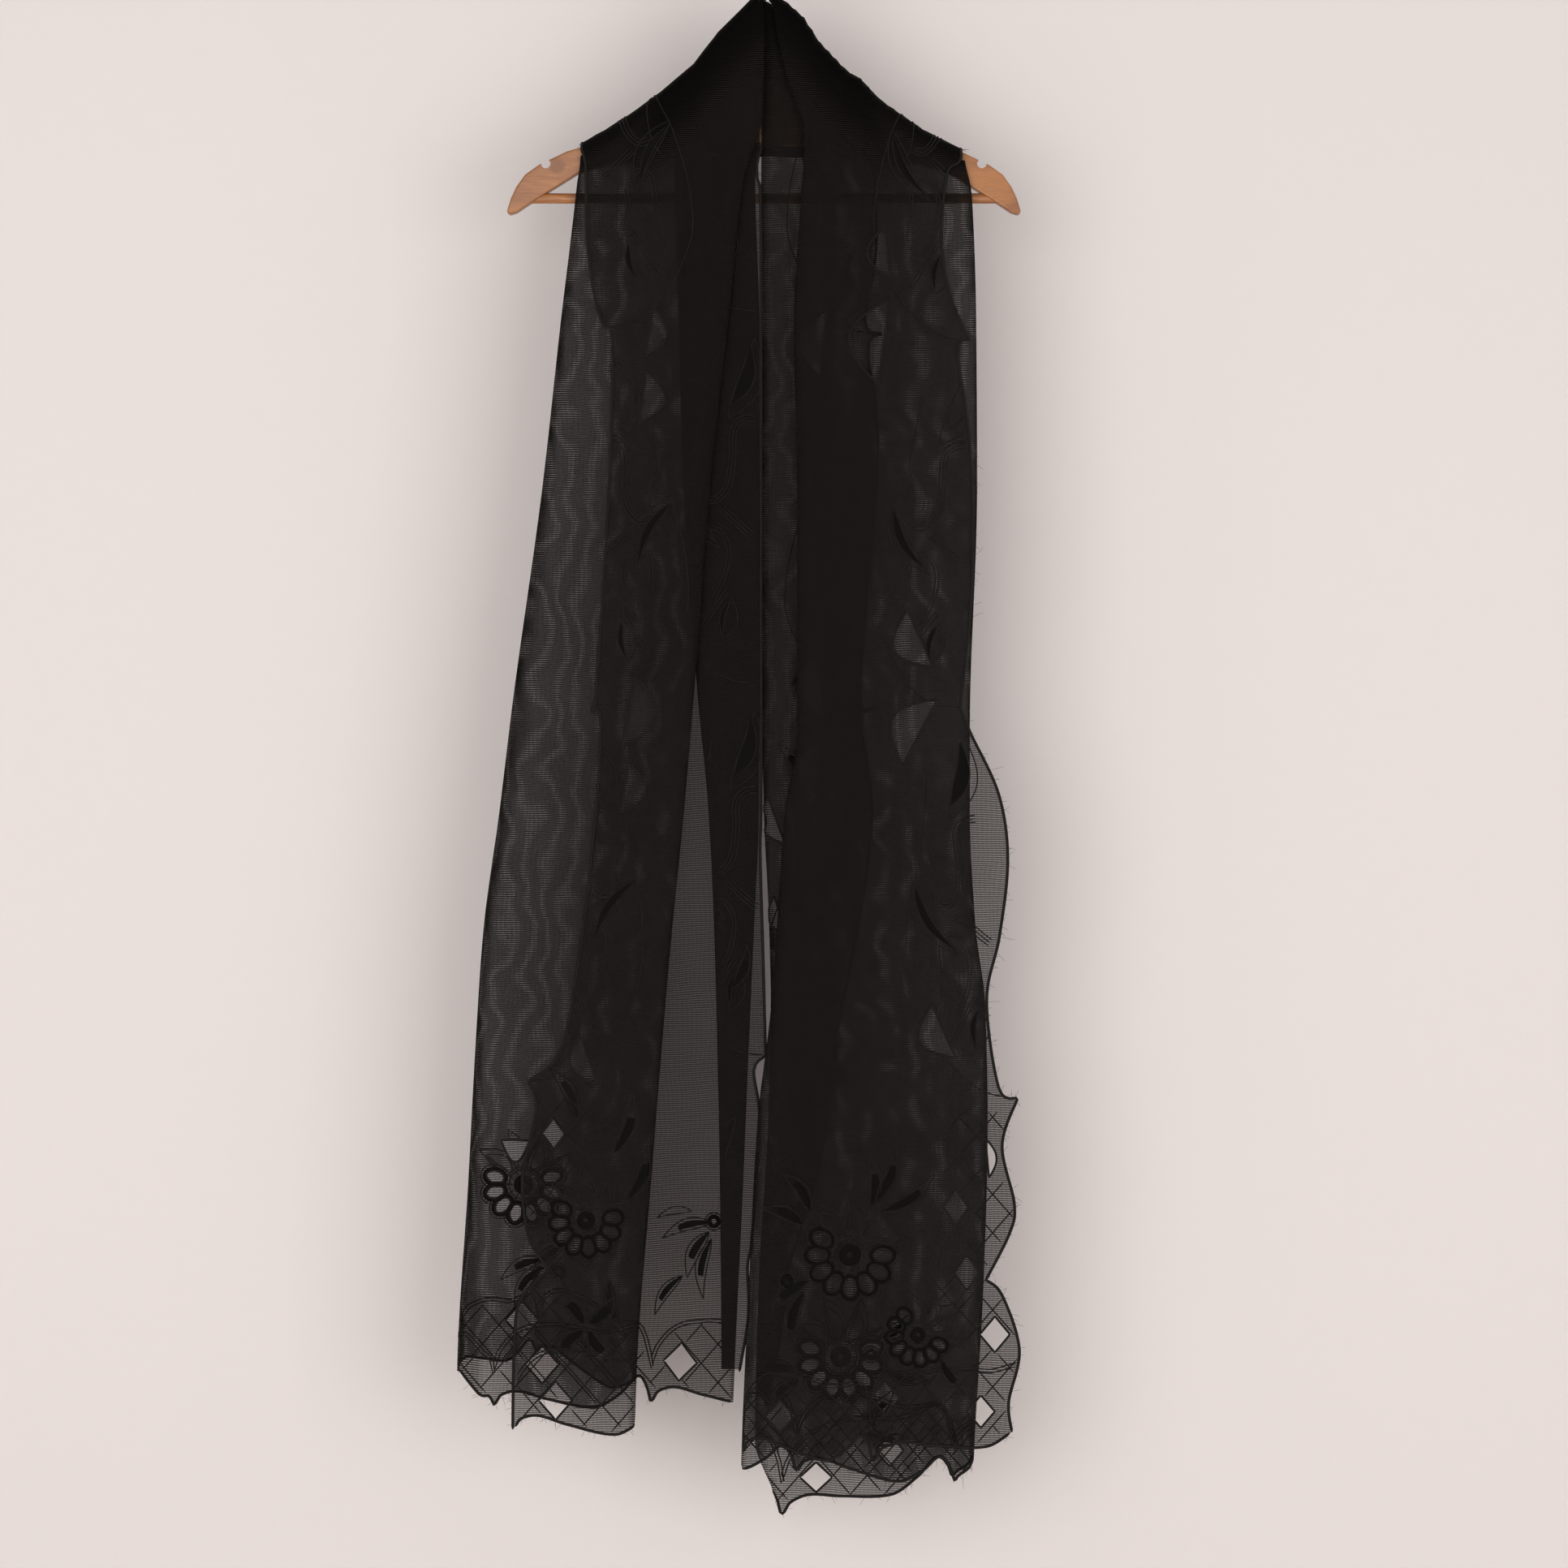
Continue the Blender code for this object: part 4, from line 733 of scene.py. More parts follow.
def turned(points, across, drop, turn):
    """Points turned about their middle and set down on the chart."""
    c = math.cos(math.radians(turn))
    s = math.sin(math.radians(turn))
    points = np.asarray(points, float)
    return np.stack((across + points[:, 0] * c - points[:, 1] * s,
                     drop + points[:, 0] * s + points[:, 1] * c), axis=1)


def cut_outline(kind, across, drop, length, width, turn):
    """Outlines of the holes that one row of CUTS makes."""
    if kind == "leaf":
        t = np.linspace(0, 1, 19)
        side = np.stack((length * (t - 0.5), width * np.sin(math.pi * t)), axis=1)
        return [turned(side, across, drop, turn)]
    if kind == "diamond":
        corners = [(-length / 2, 0), (0, width / 2), (length / 2, 0), (0, -width / 2)]
        return [turned(corners, across, drop, turn)]
    rings = []
    for k in range(PETALS):
        angle = math.radians(turn + FLOWER_SPREAD * k / (PETALS - 1) - FLOWER_START)
        middle = (across + length * 0.5 * math.cos(angle), drop + length * 0.5 * math.sin(angle))
        t = np.linspace(0, math.tau, 15)[:-1]
        ring = np.stack((width * PETAL_LONG * np.cos(t), width * PETAL_WIDE * np.sin(t)), axis=1)
        rings.append(turned(ring, *middle, math.degrees(angle)))
    return rings


def inside(points, outline):
    """Which points are inside a closed outline."""
    hit = np.zeros(len(points), bool)
    x, y = points[:, 0], points[:, 1]
    after = np.roll(outline, -1, axis=0)
    for (x0, y0), (x1, y1) in zip(outline, after):
        if y0 != y1:
            crosses = (y0 > y) != (y1 > y)
            hit ^= crosses & (x < x0 + (x1 - x0) * (y - y0) / (y1 - y0))
    return hit


def distance(points, outline):
    """Distance of points from a closed outline."""
    best = np.full(len(points), np.inf)
    after = np.roll(outline, -1, axis=0)
    for a, b in zip(outline, after):
        line = b - a
        span = max(line @ line, 1e-9)
        t = np.clip(((points - a) @ line) / span, 0, 1)
        gap = points - a - t[:, None] * line
        best = np.minimum(best, np.hypot(gap[:, 0], gap[:, 1]))
    return best


def chart_outline(fall):
    """Closed outline of a fall's chart, and the lines in it where the cloth ends."""
    def side(which):
        free = FREE_EDGES.get(fall.name)
        if free and free[0] == which:
            curve = edge_curve(free[1], 3.0)
            start = curve[0][0]
            top = top_of(start)
            over = np.arange(top, curve[0][1] - 2.0, 6.0)
            return np.concatenate((np.stack((np.full(len(over), start), over), axis=1), curve))
        edge = fall.left if which == "left" else fall.right
        line = float(np.mean(fall.turn(edge, np.array([60.0]))[0]))
        drops = np.arange(top_of(line), 1500.0, 6.0)
        xs = fall.limit(edge, drops)
        kept = drops < hem_drop(tips, xs)
        return np.stack((xs, drops), axis=1)[kept]

    def top_of(x):
        if fall.wraps:
            return float(ridge_base(x)) - math.pi * RIDGE_RADIUS
        return float(ridge_base(x)) + (INNER_TOP if fall.layer == "inner" else HIDDEN_TOP)

    tips = HEMS[fall.name]
    left_side = side("left")
    right_side = side("right")
    xs = np.arange(left_side[0][0] + 5.0, right_side[0][0] - 4.0, 5.0)
    top = np.array([(x, top_of(x)) for x in xs])
    hem = np.arange(right_side[-1][0] - 2.0, left_side[-1][0] + 1.0, -2.5)
    bottom = np.stack((hem, hem_drop(tips, hem)), axis=1)
    free = FREE_EDGES.get(fall.name, ("", []))[0]
    bare = [bottom]
    if free:
        bare.append(left_side if free == "left" else right_side)
    return np.concatenate((top, right_side, bottom, left_side[::-1])), bare


def filled_chart(outline, holes, step):
    """Triangles that fill a chart outline, with its holes left out."""
    low = outline.min(axis=0)
    high = outline.max(axis=0)
    grid = np.mgrid[low[0]:high[0]:step, low[1]:high[1]:step].reshape(2, -1).T
    grid = grid[inside(grid, outline)]
    grid = grid[distance(grid, outline) > step * 0.4]
    for hole in holes:
        near = distance(grid, hole) < step * 0.4
        grid = grid[~(near | inside(grid, hole))]
    loops = [outline] + holes
    points = np.concatenate(loops + [grid])
    edges = []
    first = 0
    for loop in loops:
        edges += [(first + k, first + (k + 1) % len(loop)) for k in range(len(loop))]
        first += len(loop)
    found = delaunay_2d_cdt([Vector(p) for p in points], edges, [], 0, 1e-4)
    chart = np.array([(v[0], v[1]) for v in found[0]])
    faces = np.array([face for face in found[2] if len(face) == 3])
    middles = chart[faces].mean(axis=1)
    kept = inside(middles, outline)
    for hole in holes:
        kept &= ~inside(middles, hole)
    return chart, faces[kept]


def chart_object(name, chart, faces, points, material, bunched_and_shaded=None):
    """Smooth mesh object with its chart kept as a UV map in metres."""
    mesh = bpy.data.meshes.new(name)
    mesh.from_pydata(points.tolist(), [], faces.tolist())
    flat = mesh.uv_layers.new(name="chart")
    corners = np.empty(len(mesh.loops), np.int32)
    mesh.loops.foreach_get("vertex_index", corners)
    flat.data.foreach_set("uv", (chart[corners] * MM).astype(np.float32).ravel())
    mesh.polygons.foreach_set("use_smooth", np.ones(len(mesh.polygons), bool))
    if bunched_and_shaded is not None:
        share = mesh.attributes.new("bunched_and_shaded", "FLOAT", "POINT")
        share.data.foreach_set("value", bunched_and_shaded.astype(np.float32))
    mesh.materials.append(material)
    made = bpy.data.objects.new(name, mesh)
    scene.collection.objects.link(made)
    return made


# how far the ribs of each layer are off level, in degrees, as it hangs
RIB_TILT = {
    "left_front": 0.8, "left_middle": -3.2, "left_back": 2.4, "right_front": -0.8, "right_middle": 3.0,
    "right_back": -2.6, "right_inner": 2.2,
}
# These amounts make the cloth denser, and through the material they also darken its colour as painted shade.
TOP_BUNCH = 0.6
TOP_BUNCH_FALL = 75.0
TOP_BUNCH_HALF = 125.0
TOP_BUNCH_FADE = 40.0
FOLD_BUNCH = 0.16
RIDGE_BUNCH = 0.5
RIDGE_BUNCH_FALL = 12.0
# a strip beside the left outer fold is doubled by the turned border behind it: its inner line
TURNED_STRIP = table(
    ("drop", "line"),
    [
        (400, -178.0), (504, -183.4), (553, -187.6), (581, -196.0), (630, -197.4), (699, -205.0),
        (922, -242.0), (1097, -243.4),
    ],
)
STRIP_BUNCH = 0.1
STRIP_FADE = 3.0


def bunching_and_shade(fall, across, drop):
    """How much denser the cloth is, and how much painted shade darkens its colour: near the neck, and in the
    turn of its folds.
    """
    near = 1 - eased((drop - ridge_base(across)) / TOP_BUNCH_FALL)
    out = TOP_BUNCH * near * eased((TOP_BUNCH_HALF - np.abs(across)) / TOP_BUNCH_FADE)
    ridge = 1 - eased((drop - ridge_base(across)) / RIDGE_BUNCH_FALL)
    out = np.maximum(out, RIDGE_BUNCH * ridge)
    if fall.name == "left_middle":
        line = smooth(TURNED_STRIP, "drop", "line", drop)
        out += STRIP_BUNCH * eased((line - across) / STRIP_FADE) * (drop > TURNED_STRIP[0]["drop"])
    for side, way in ((fall.left, -1.0), (fall.right, 1.0)):
        if side is not None:
            line, radius, sign = fall.turn(side, drop)
            past = way * (across - line) + radius
            out = np.maximum(out, FOLD_BUNCH * eased(past / np.maximum(radius, 1.0)))
    return out


def wear(piece, node):
    """Put a piece of cloth in the place of its solid."""
    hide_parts(node)
    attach(piece, "root")


outlines = {}
bare_edges = {}
cuts = {}
sheets = {}
for name, fall in FALLS.items():
    outlines[name], bare_edges[name] = chart_outline(fall)
    cuts[name] = [hole for row in CUTS if row[0] == name for hole in cut_outline(*row[1:])]
    chart, faces = filled_chart(outlines[name], cuts[name], FINE_STEP)
    tilt = math.radians(RIB_TILT[name])
    ribbed = chart @ np.array([[math.cos(tilt), math.sin(tilt)], [-math.sin(tilt), math.cos(tilt)]])
    bunched_and_shaded = bunching_and_shade(fall, chart[:, 0], chart[:, 1])
    points = fall.place(chart[:, 0], chart[:, 1])
    sheets[name] = chart_object(name + "_cloth", ribbed, faces, points, organza, bunched_and_shaded)
    low = outlines[name].min(axis=0)
    high = outlines[name].max(axis=0)
    corners = chart[faces]
    sides = corners[:, 1:] - corners[:, :1]
    wear(sheets[name], name + "_fall")


# The inner pleat and the band behind the neck
# The left end's inner edge is gathered in four narrow layers. Behind the neck the folded cloth is
# drawn together in a double band that hangs down the hanger's back.
PLEAT_END = 1228.7
PLEAT_SPAN = (-78.0, -5.5)
PLEAT_LAYER_WIDTH = 62.0


def pleat_points(along, drop):
    """Points of the pleat: 'along' counts its layers, 0 to 4, from the fold at the seam."""
    left_line = smooth(LEFT_FOLDS, "drop", "pleat_left", drop)
    right_line = smooth(LEFT_FOLDS, "drop", "pleat_right", drop)
    back = layer_depth(LEFT_LAYERS, "back", right_line, drop)
    first = (pleat_depth(1, right_line, drop) - back - SEAM_GAP) / 2
    at_left = (pleat_depth(2, left_line, drop) - pleat_depth(1, left_line, drop)) / 2
    at_right = (pleat_depth(3, right_line, drop) - pleat_depth(2, right_line, drop)) / 2
    edge = edge_curve(LEFT_INNER_EDGE, 8.0)
    free = np.interp(drop, edge[:, 1], edge[:, 0])
    layer = np.minimum(3, along.astype(int))
    part = along - layer
    forward = layer % 2 == 1
    way = np.where(forward, 1.0, -1.0)
    x_in = np.where(forward, left_line, right_line)
    x_out = np.where(forward, right_line, left_line)
    r_in = np.choose(layer, (first, at_left, at_right, at_left))
    r_out = np.choose(layer, (at_left, at_right, at_left, at_left * 0))
    start = x_in + way * r_in
    end = np.where(layer == 3, free, x_out - way * r_out)
    coming = part < 0.2
    going = (part > 0.8) & (layer < 3)
    turn_in = (1 - part / 0.2) * math.pi / 2
    turn_out = (part - 0.8) / 0.2 * math.pi / 2
    flat = (part - 0.2) / np.where(layer == 3, 0.8, 0.6)
    x = start + (end - start) * flat
    x = np.where(coming, start - way * r_in * np.sin(turn_in), x)
    x = np.where(going, end + way * r_out * np.sin(turn_out), x)
    back = layer_depth(LEFT_LAYERS, "back", x, drop)
    middle = layer_depth(LEFT_LAYERS, "middle", x, drop)
    y = back + (middle - back) * (layer + 1) / 5
    y = np.where(coming, y - r_in * (1 - np.cos(turn_in)), y)
    y = np.where(going, y + r_out * (1 - np.cos(turn_out)), y)
    return np.stack((x, wave(x, drop - ridge_base(x)) - y, -drop), axis=1) * MM


def grid_faces(rows, columns):
    """Quads of a grid of rows and columns."""
    k = np.arange(rows * columns).reshape(rows, columns)
    quads = np.stack((k[:-1, :-1], k[1:, :-1], k[1:, 1:], k[:-1, 1:]), axis=-1)
    return quads.reshape(-1, 4)


columns = np.concatenate([layer + np.array([0, .05, .1, .15, .2, .35, .5, .65, .8, .85, .9, .95])
                          for layer in range(3)] + [np.linspace(3, 4, 18)])
pleat_top = float(max(ridge_base(x) for x in PLEAT_SPAN)) + INNER_TOP
drops = np.linspace(pleat_top, PLEAT_END - 2.0, 150)
along, drop = (a.ravel() for a in np.meshgrid(columns, drops))
chart = np.stack((along * PLEAT_LAYER_WIDTH, drop), axis=1)
pleat = chart_object(
    "inner_pleat_cloth", chart, grid_faces(len(drops), len(columns)), pleat_points(along, drop), organza
)
wear(pleat, "left_inner_pleat")

# The band's amount makes it denser and also darkens its colour as painted shade.
BAND_BUNCH = 0.4
BAND_LEFT = -155.0
BAND_RIGHT = 166.0
BAND_LOWER = 182.0
BAND_LOWER_MORE = 11.0
BAND_HALF = 160.0
BAND_INNER_START = 4.0
band_radius = (BAND_OUTER - BAND_INNER) / 2
band_middle = (BAND_OUTER + BAND_INNER) / 2
xs = np.linspace(BAND_LEFT, BAND_RIGHT, 90)
rows = []
for x in xs:
    top = float(ridge_base(x)) + BAND_GAP
    lower = BAND_LOWER + BAND_LOWER_MORE * (x / BAND_HALF) ** 2 - band_radius
    down = [(BAND_OUTER, d) for d in np.linspace(top, lower, 14)]
    turn = [(band_middle + band_radius * math.cos(a), lower + band_radius * math.sin(a))
            for a in np.linspace(0, math.pi, 7)[1:-1]]
    up = [(BAND_INNER, d) for d in np.linspace(lower, min(top + BAND_INNER_START, lower - 1.0), 10)]
    rows.append([(x, y, -d) for y, d in down + turn + up])
rows = np.array(rows)
chart = np.stack((rows[:, :, 0], np.tile(np.arange(rows.shape[1]) * 7.0, (len(xs), 1))), axis=-1)
band = chart_object(
    "neck_band_cloth", chart.reshape(-1, 2), grid_faces(*rows.shape[:2]), rows.reshape(-1, 3) * MM, organza,
    np.full(rows.shape[0] * rows.shape[1], BAND_BUNCH),
)
wear(band, "neck_band")


# The corded edges
# Every free edge and every cut-out is bound with black cord, couched down with close satin stitches
# that stand up as a fine rope.
EDGE_CORD = (2.6, 1.5)
HOLE_CORD = (1.9, 1.3)
LINE_CORD = (1.25, 1.0)

stitch, entry, leave = new_group(
    "couching stitches",
    [("Vector", "NodeSocketVector", None), ("Stitch Pitch", "NodeSocketFloat", 0.0007),
     ("Slant", "NodeSocketFloat", 0.3)],
    [("Stitches", "NodeSocketFloat"), ("Wear And Sheen", "NodeSocketFloat")],
)
place = stitch.nodes.new("ShaderNodeSeparateXYZ")
stitch.links.new(entry.outputs["Vector"], place.inputs["Vector"])
slanted = maths(stitch, "MULTIPLY_ADD", place.outputs["Y"], entry.outputs["Slant"], place.outputs["X"])
turns = maths(stitch, "DIVIDE", maths(stitch, "MULTIPLY", slanted, math.tau), entry.outputs["Stitch Pitch"])
stitch.links.new(
    maths(stitch, "MULTIPLY_ADD", maths(stitch, "SINE", turns), 0.5, 0.5), leave.inputs["Stitches"]
)
# Patchy noise for wear in the thread's roughness; it also scales the painted sheen of the stitches.
wear_and_sheen_noise = noise(stitch, entry.outputs["Vector"], 60.0)
stitch.links.new(wear_and_sheen_noise.outputs["Fac"], leave.inputs["Wear And Sheen"])


def thread_material(name, dark, light, pitch, slant, roughness, specular):
    """Black embroidery thread with its stitches; the lighter colour on the stitch crests is a painted sheen.
    """
    material, tree, shader = new_material(name)
    flat = tree.nodes.new("ShaderNodeUVMap")
    flat.uv_map = "chart"
    node = use_group(tree, stitch, Stitch_Pitch=pitch, Slant=slant)
    tree.links.new(flat.outputs["UV"], node.inputs["Vector"])
    colours = tree.nodes.new("ShaderNodeValToRGB")
    colours.color_ramp.elements[0].color = (*dark, 1.0)
    colours.color_ramp.elements[1].color = (*light, 1.0)
    # The colour runs from dark in the stitch hollows to a painted sheen on the stitch crests.
    amount = maths(tree, "MULTIPLY", node.outputs["Stitches"], node.outputs["Wear And Sheen"])
    tree.links.new(amount, colours.inputs["Fac"])
    tree.links.new(colours.outputs["Color"], shader.inputs["Base Color"])
    tree.links.new(
        maths(tree, "MULTIPLY_ADD", node.outputs["Wear And Sheen"], 0.2, roughness), shader.inputs["Roughness"]
    )
    shader.inputs["Specular IOR Level"].default_value = specular
    raise_surface(tree, shader, node.outputs["Stitches"], 0.0003, 0.6)
    return material


cord_thread = thread_material(
    "black cord", (0.003, 0.0026, 0.0023), (0.025, 0.021, 0.018), 0.0008, 0.4, 0.5, 0.16
)


def inner_flap(across, drop):
    """Points of the pleat's foremost layer."""
    across = np.asarray(across, float)
    back = layer_depth(LEFT_LAYERS, "back", across, drop)
    middle = layer_depth(LEFT_LAYERS, "middle", across, drop)
    depth = back + (middle - back) * 0.8
    return np.stack((across, wave(across, drop - ridge_base(across)) - depth, -drop), axis=1) * MM


surfaces = {name: fall.place for name, fall in FALLS.items()}
surfaces["inner_flap"] = inner_flap


def front_normals(surface, chart):
    """Directions out of the cloth's front at places on its chart."""
    across, drop = chart[:, 0], chart[:, 1]
    along = surface(across + 0.4, drop) - surface(across - 0.4, drop)
    down = surface(across, drop + 0.4) - surface(across, drop - 0.4)
    normals = np.cross(down, along)
    normals /= np.maximum(np.linalg.norm(normals, axis=1), 1e-12)[:, None]
    return normals


def curve_through(points, step=3.0):
    """Smooth chart line through points."""
    rows = [(x, y, 0) for x, y in points]
    return edge_curve(rows, step)


def beside(line, gap):
    """Line beside another, at a gap to its left."""
    way = np.gradient(line, axis=0)
    way /= np.maximum(np.hypot(way[:, 0], way[:, 1]), 1e-9)[:, None]
    return line + gap * np.stack((way[:, 1], -way[:, 0]), axis=1)


def resampled(line, step):
    """Points along a line at an even step."""
    lengths = np.concatenate(([0.0], np.cumsum(np.hypot(*np.diff(line, axis=0).T))))
    at = np.linspace(0.0, lengths[-1], max(2, round(lengths[-1] / step) + 1))
    return np.stack((np.interp(at, lengths, line[:, 0]), np.interp(at, lengths, line[:, 1])), axis=1)


def runs_inside(line, name):
    """Stretches of a line that lie on the cloth of a fall, clear of its holes."""
    kept = inside(line, outlines[name])
    for hole in cuts[name]:
        kept &= ~inside(line, hole)
    runs = []
    start = None
    for k, good in enumerate(list(kept) + [False]):
        if good and start is None:
            start = k
        if not good and start is not None:
            if k - start > 2:
                runs.append(line[start:k])
            start = None
    return runs


def cord_mesh(name, surface, lines, material, sides=5):
    """Mesh of cords along chart lines: each is (line, width, height)."""
    points = []
    faces = []
    flat = []
    first = 0
    angles = np.linspace(0.0, math.tau, sides + 1)[:-1]
    for line, width, height in lines:
        middle = surface(line[:, 0], line[:, 1])
        normal = front_normals(surface, line)
        along = np.gradient(middle, axis=0)
        along /= np.maximum(np.linalg.norm(along, axis=1), 1e-12)[:, None]
        across = np.cross(along, normal)
        taper = np.ones(len(line))
        taper[0] = taper[-1] = 0.45
        length = np.concatenate(([0.0], np.cumsum(np.linalg.norm(np.diff(middle, axis=0), axis=1))))
        for k, angle in enumerate(angles):
            out = across * (math.cos(angle) * width / 2) + normal * (math.sin(angle) * height / 2)
            points.append(middle + out * (taper * MM)[:, None])
            flat.append(np.stack((length, np.full(len(line), 0.0012 * k)), axis=1))
        count = len(line)
        k = np.arange(count - 1)
        for side in range(sides):
            a = first + side * count + k
            b = first + (side + 1) % sides * count + k
            faces.append(np.stack((a, a + 1, b + 1, b), axis=1))
        first += sides * count
    return chart_object(
        name, np.concatenate(flat) / MM, np.concatenate(faces), np.concatenate(points), material
    )


def embroider(name, fall_name, lines, material, sides=5):
    """Cords on one fall, riding on it."""
    made = cord_mesh(name, surfaces[fall_name], lines, material, sides)
    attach(made, "root")
    return made


pleat_edge = edge_curve(LEFT_INNER_EDGE, 3.0)
pleat_edge = pleat_edge[pleat_edge[:, 1] > pleat_top]
bare_edges["inner_flap"] = [pleat_edge]
for name in surfaces:
    lines = [(resampled(line, 2.6), *EDGE_CORD) for line in bare_edges[name]]
    for hole in cuts.get(name, []):
        closed = np.concatenate((hole, hole[:1]))
        lines.append((resampled(closed, 2.2), *HOLE_CORD))
    embroider(name + "_edge_cord", name, lines, cord_thread, 6)


# The vine borders
# Along each free side runs a vine of couched cord, one repeat between two leaf tips, with pointed leaves,
# loops of double and triple lines, and half leaves cut away where the vine crosses to the edge.
# Its points are measured inward from the line of the tips and down from the upper tip.
VINE_REPEAT = 336.0
VINE = [(40, 52), (46, 92), (53, 130), (65, 158), (77, 205), (80, 243), (74, 268), (58, 300), (41, 321),
        (22, 333), (0, 336)]
# start, end, bow of each leaf, and whether it is filled with satin stitches
LEAVES = [
    {"from": (63, 152), "to": (32, 214), "bow": 9.0, "filled": False},
    {"from": (62, 156), "to": (36, 208), "bow": 3.6, "filled": True},
    {"from": (21, 84), "to": (6, 30), "bow": 7.0, "filled": True},
    {"from": (24, 96), "to": (2, 24), "bow": 11.0, "filled": False},
    {"from": (30, 296), "to": (22, 258), "bow": 6.5, "filled": False},
    {"from": (24, 262), "to": (29, 292), "bow": 2.4, "filled": True},
]
LOOPS = [
    {"points": [(2, 96), (12, 98), (20, 108), (21, 134), (25, 158), (36, 171), (46, 168)], "lines": 3},
    {"points": [(30, 178), (24, 184), (12, 196), (4, 203)], "lines": 3},
    {"points": [(38, 262), (28, 240), (24, 216), (30, 200), (40, 196), (47, 206), (48, 226)], "lines": 2},
    {"points": [(48, 226), (54, 252), (62, 268)], "lines": 1},
    {"points": [(50, 290), (36, 268), (24, 250)], "lines": 2},
    {"points": [(50, 118), (44, 140), (47, 168), (55, 182)], "lines": 1},
]
LINE_GAP = 2.9
LEAF_CURVE = 0.1
# where the leaf tips lie on each free edge, from above the hanger to the last one
TIPS = {
    "left_front": (1, [(-150, 8), (-137, 333), (-148, 659), (-201, 979)]),
    "right_front": (-1, [(170, 12), (177, 344), (170, 659), (217, 993)]),
    "right_inner": (-1, [(96, 12), (102, 337), (97, 656), (73, 977)]),
    "inner_flap": (-1, [(-8, -5), (-6, 318), (-6, 638), (1.6, 957)]),
}

# Its lighter stitch colour is a faint painted sheen.
satin_thread = thread_material(
    "black satin stitch", (0.0012, 0.001, 0.0009), (0.007, 0.006, 0.005), 0.0006, 0.9, 0.5, 0.08
)


def leaf_sides(start, end, bow):
    """The two bowed sides of a slightly curved leaf, from its stalk to its point."""
    start = np.array(start, float)
    end = np.array(end, float)
    way = end - start
    out = np.array([-way[1], way[0]]) / math.hypot(*way)
    t = np.linspace(0, 1, max(8, int(math.hypot(*way) / 3.0)))[:, None]
    swell = bow * np.sin(math.pi * t ** 0.8)
    middle = start + way * t + out * LEAF_CURVE * math.hypot(*way) * np.sin(math.pi * t)
    return middle + out * swell, middle - out * swell * 0.85


def satin_mesh(name, fall_name, leaves, material):
    """Raised satin-stitch leaves: each is a pair of sides on the chart."""
    surface = surfaces[fall_name]
    shares = np.linspace(0.0, 1.0, 6)
    heights = 0.9 * np.sin(math.pi * shares)
    points = []
    faces = []
    flat = []
    first = 0
    for one, two in leaves:
        for share, height in zip(shares, heights):
            row = one + (two - one) * share
            points.append(surface(row[:, 0], row[:, 1]) + front_normals(surface, row) * (height + 0.15) * MM)
            flat.append(row)
        count = len(one)
        faces.append(grid_faces(len(shares), count) + first)
        first += len(shares) * count
    made = chart_object(name, np.concatenate(flat), np.concatenate(faces), np.concatenate(points), material)
    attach(made, "root")
    return made


def on_border(points, tips, way, k):
    """Chart places of border points in the repeat that starts at tip k."""
    points = np.asarray(points, float)
    (x0, d0), (x1, d1) = tips[k], tips[k + 1]
    part = points[:, 1] / VINE_REPEAT
    return np.stack((x0 + (x1 - x0) * part + way * points[:, 0], d0 + (d1 - d0) * part), axis=1)


def kept_parts(line, kept):
    """The parts of a line whose points are all kept."""
    splits = np.flatnonzero(np.diff(kept.astype(int))) + 1
    return [part for part, good in zip(np.split(line, splits), np.split(kept, splits)) if good[0]]


def cloth_runs(fall_name, line):
    """Stretches of a line on a fall's cloth, or on the pleat's foremost layer."""
    if fall_name != "inner_flap":
        return runs_inside(line, fall_name)
    edge = np.interp(line[:, 1], pleat_edge[:, 1], pleat_edge[:, 0])
    fold = smooth(LEFT_FOLDS, "drop", "pleat_left", line[:, 1])
    kept = (line[:, 0] < edge - 1) & (line[:, 0] > fold + 4)
    kept &= (line[:, 1] > pleat_top) & (line[:, 1] < PLEAT_END - 3)
    return [run for run in kept_parts(line, kept) if len(run) > 2]


for name, (way, tips) in TIPS.items():
    lines = []
    leaves = []
    for k in range(len(tips) - 1):
        drawn = [curve_through(on_border(VINE, tips, way, k))]
        for loop in LOOPS:
            line = curve_through(on_border(loop["points"], tips, way, k))
            for number in range(loop["lines"]):
                drawn.append(beside(line, LINE_GAP * (number - (loop["lines"] - 1) / 2)))
        for leaf in LEAVES:
            ends = on_border([leaf["from"], leaf["to"]], tips, way, k)
            one, two = leaf_sides(*ends, leaf["bow"])
            drawn += [one, two]
            middle = (one + two) / 2
            if leaf["filled"] and sum(len(run) for run in cloth_runs(name, middle)) > 0.97 * len(middle):
                leaves.append((one, two))
        for line in drawn:
            lines += [(run, *LINE_CORD) for run in cloth_runs(name, resampled(line, 3.0))]
    embroider(name + "_vine", name, lines, cord_thread)
    satin_mesh(name + "_vine_leaves", name, leaves, satin_thread)


# The lattice hems
# Above each hem, and up the lower end of each free side, cords cross in a diamond lattice that ends at
# an arched double line over every scallop.
CELL_WIDE = 29.0
CELL_HIGH = 33.0
ARCH_LOW = 26.0
ARCH_RISE = 40.0
SIDE_BAND = 44.0


def arch_height(tips, across):
    """Height of the lattice above the hem, an arch over every scallop."""
    xs = np.array([x for x, d in tips])
    i = np.clip(np.searchsorted(xs, across, side="right") - 1, 0, len(xs) - 2)
    span = xs[i + 1] - xs[i]
    part = np.clip((across - xs[i]) / span, 0, 1)
    rise = ARCH_RISE * np.minimum(1.0, span / FULL_SCALLOP)
    return ARCH_LOW + rise * np.sin(math.pi * part) ** 0.7


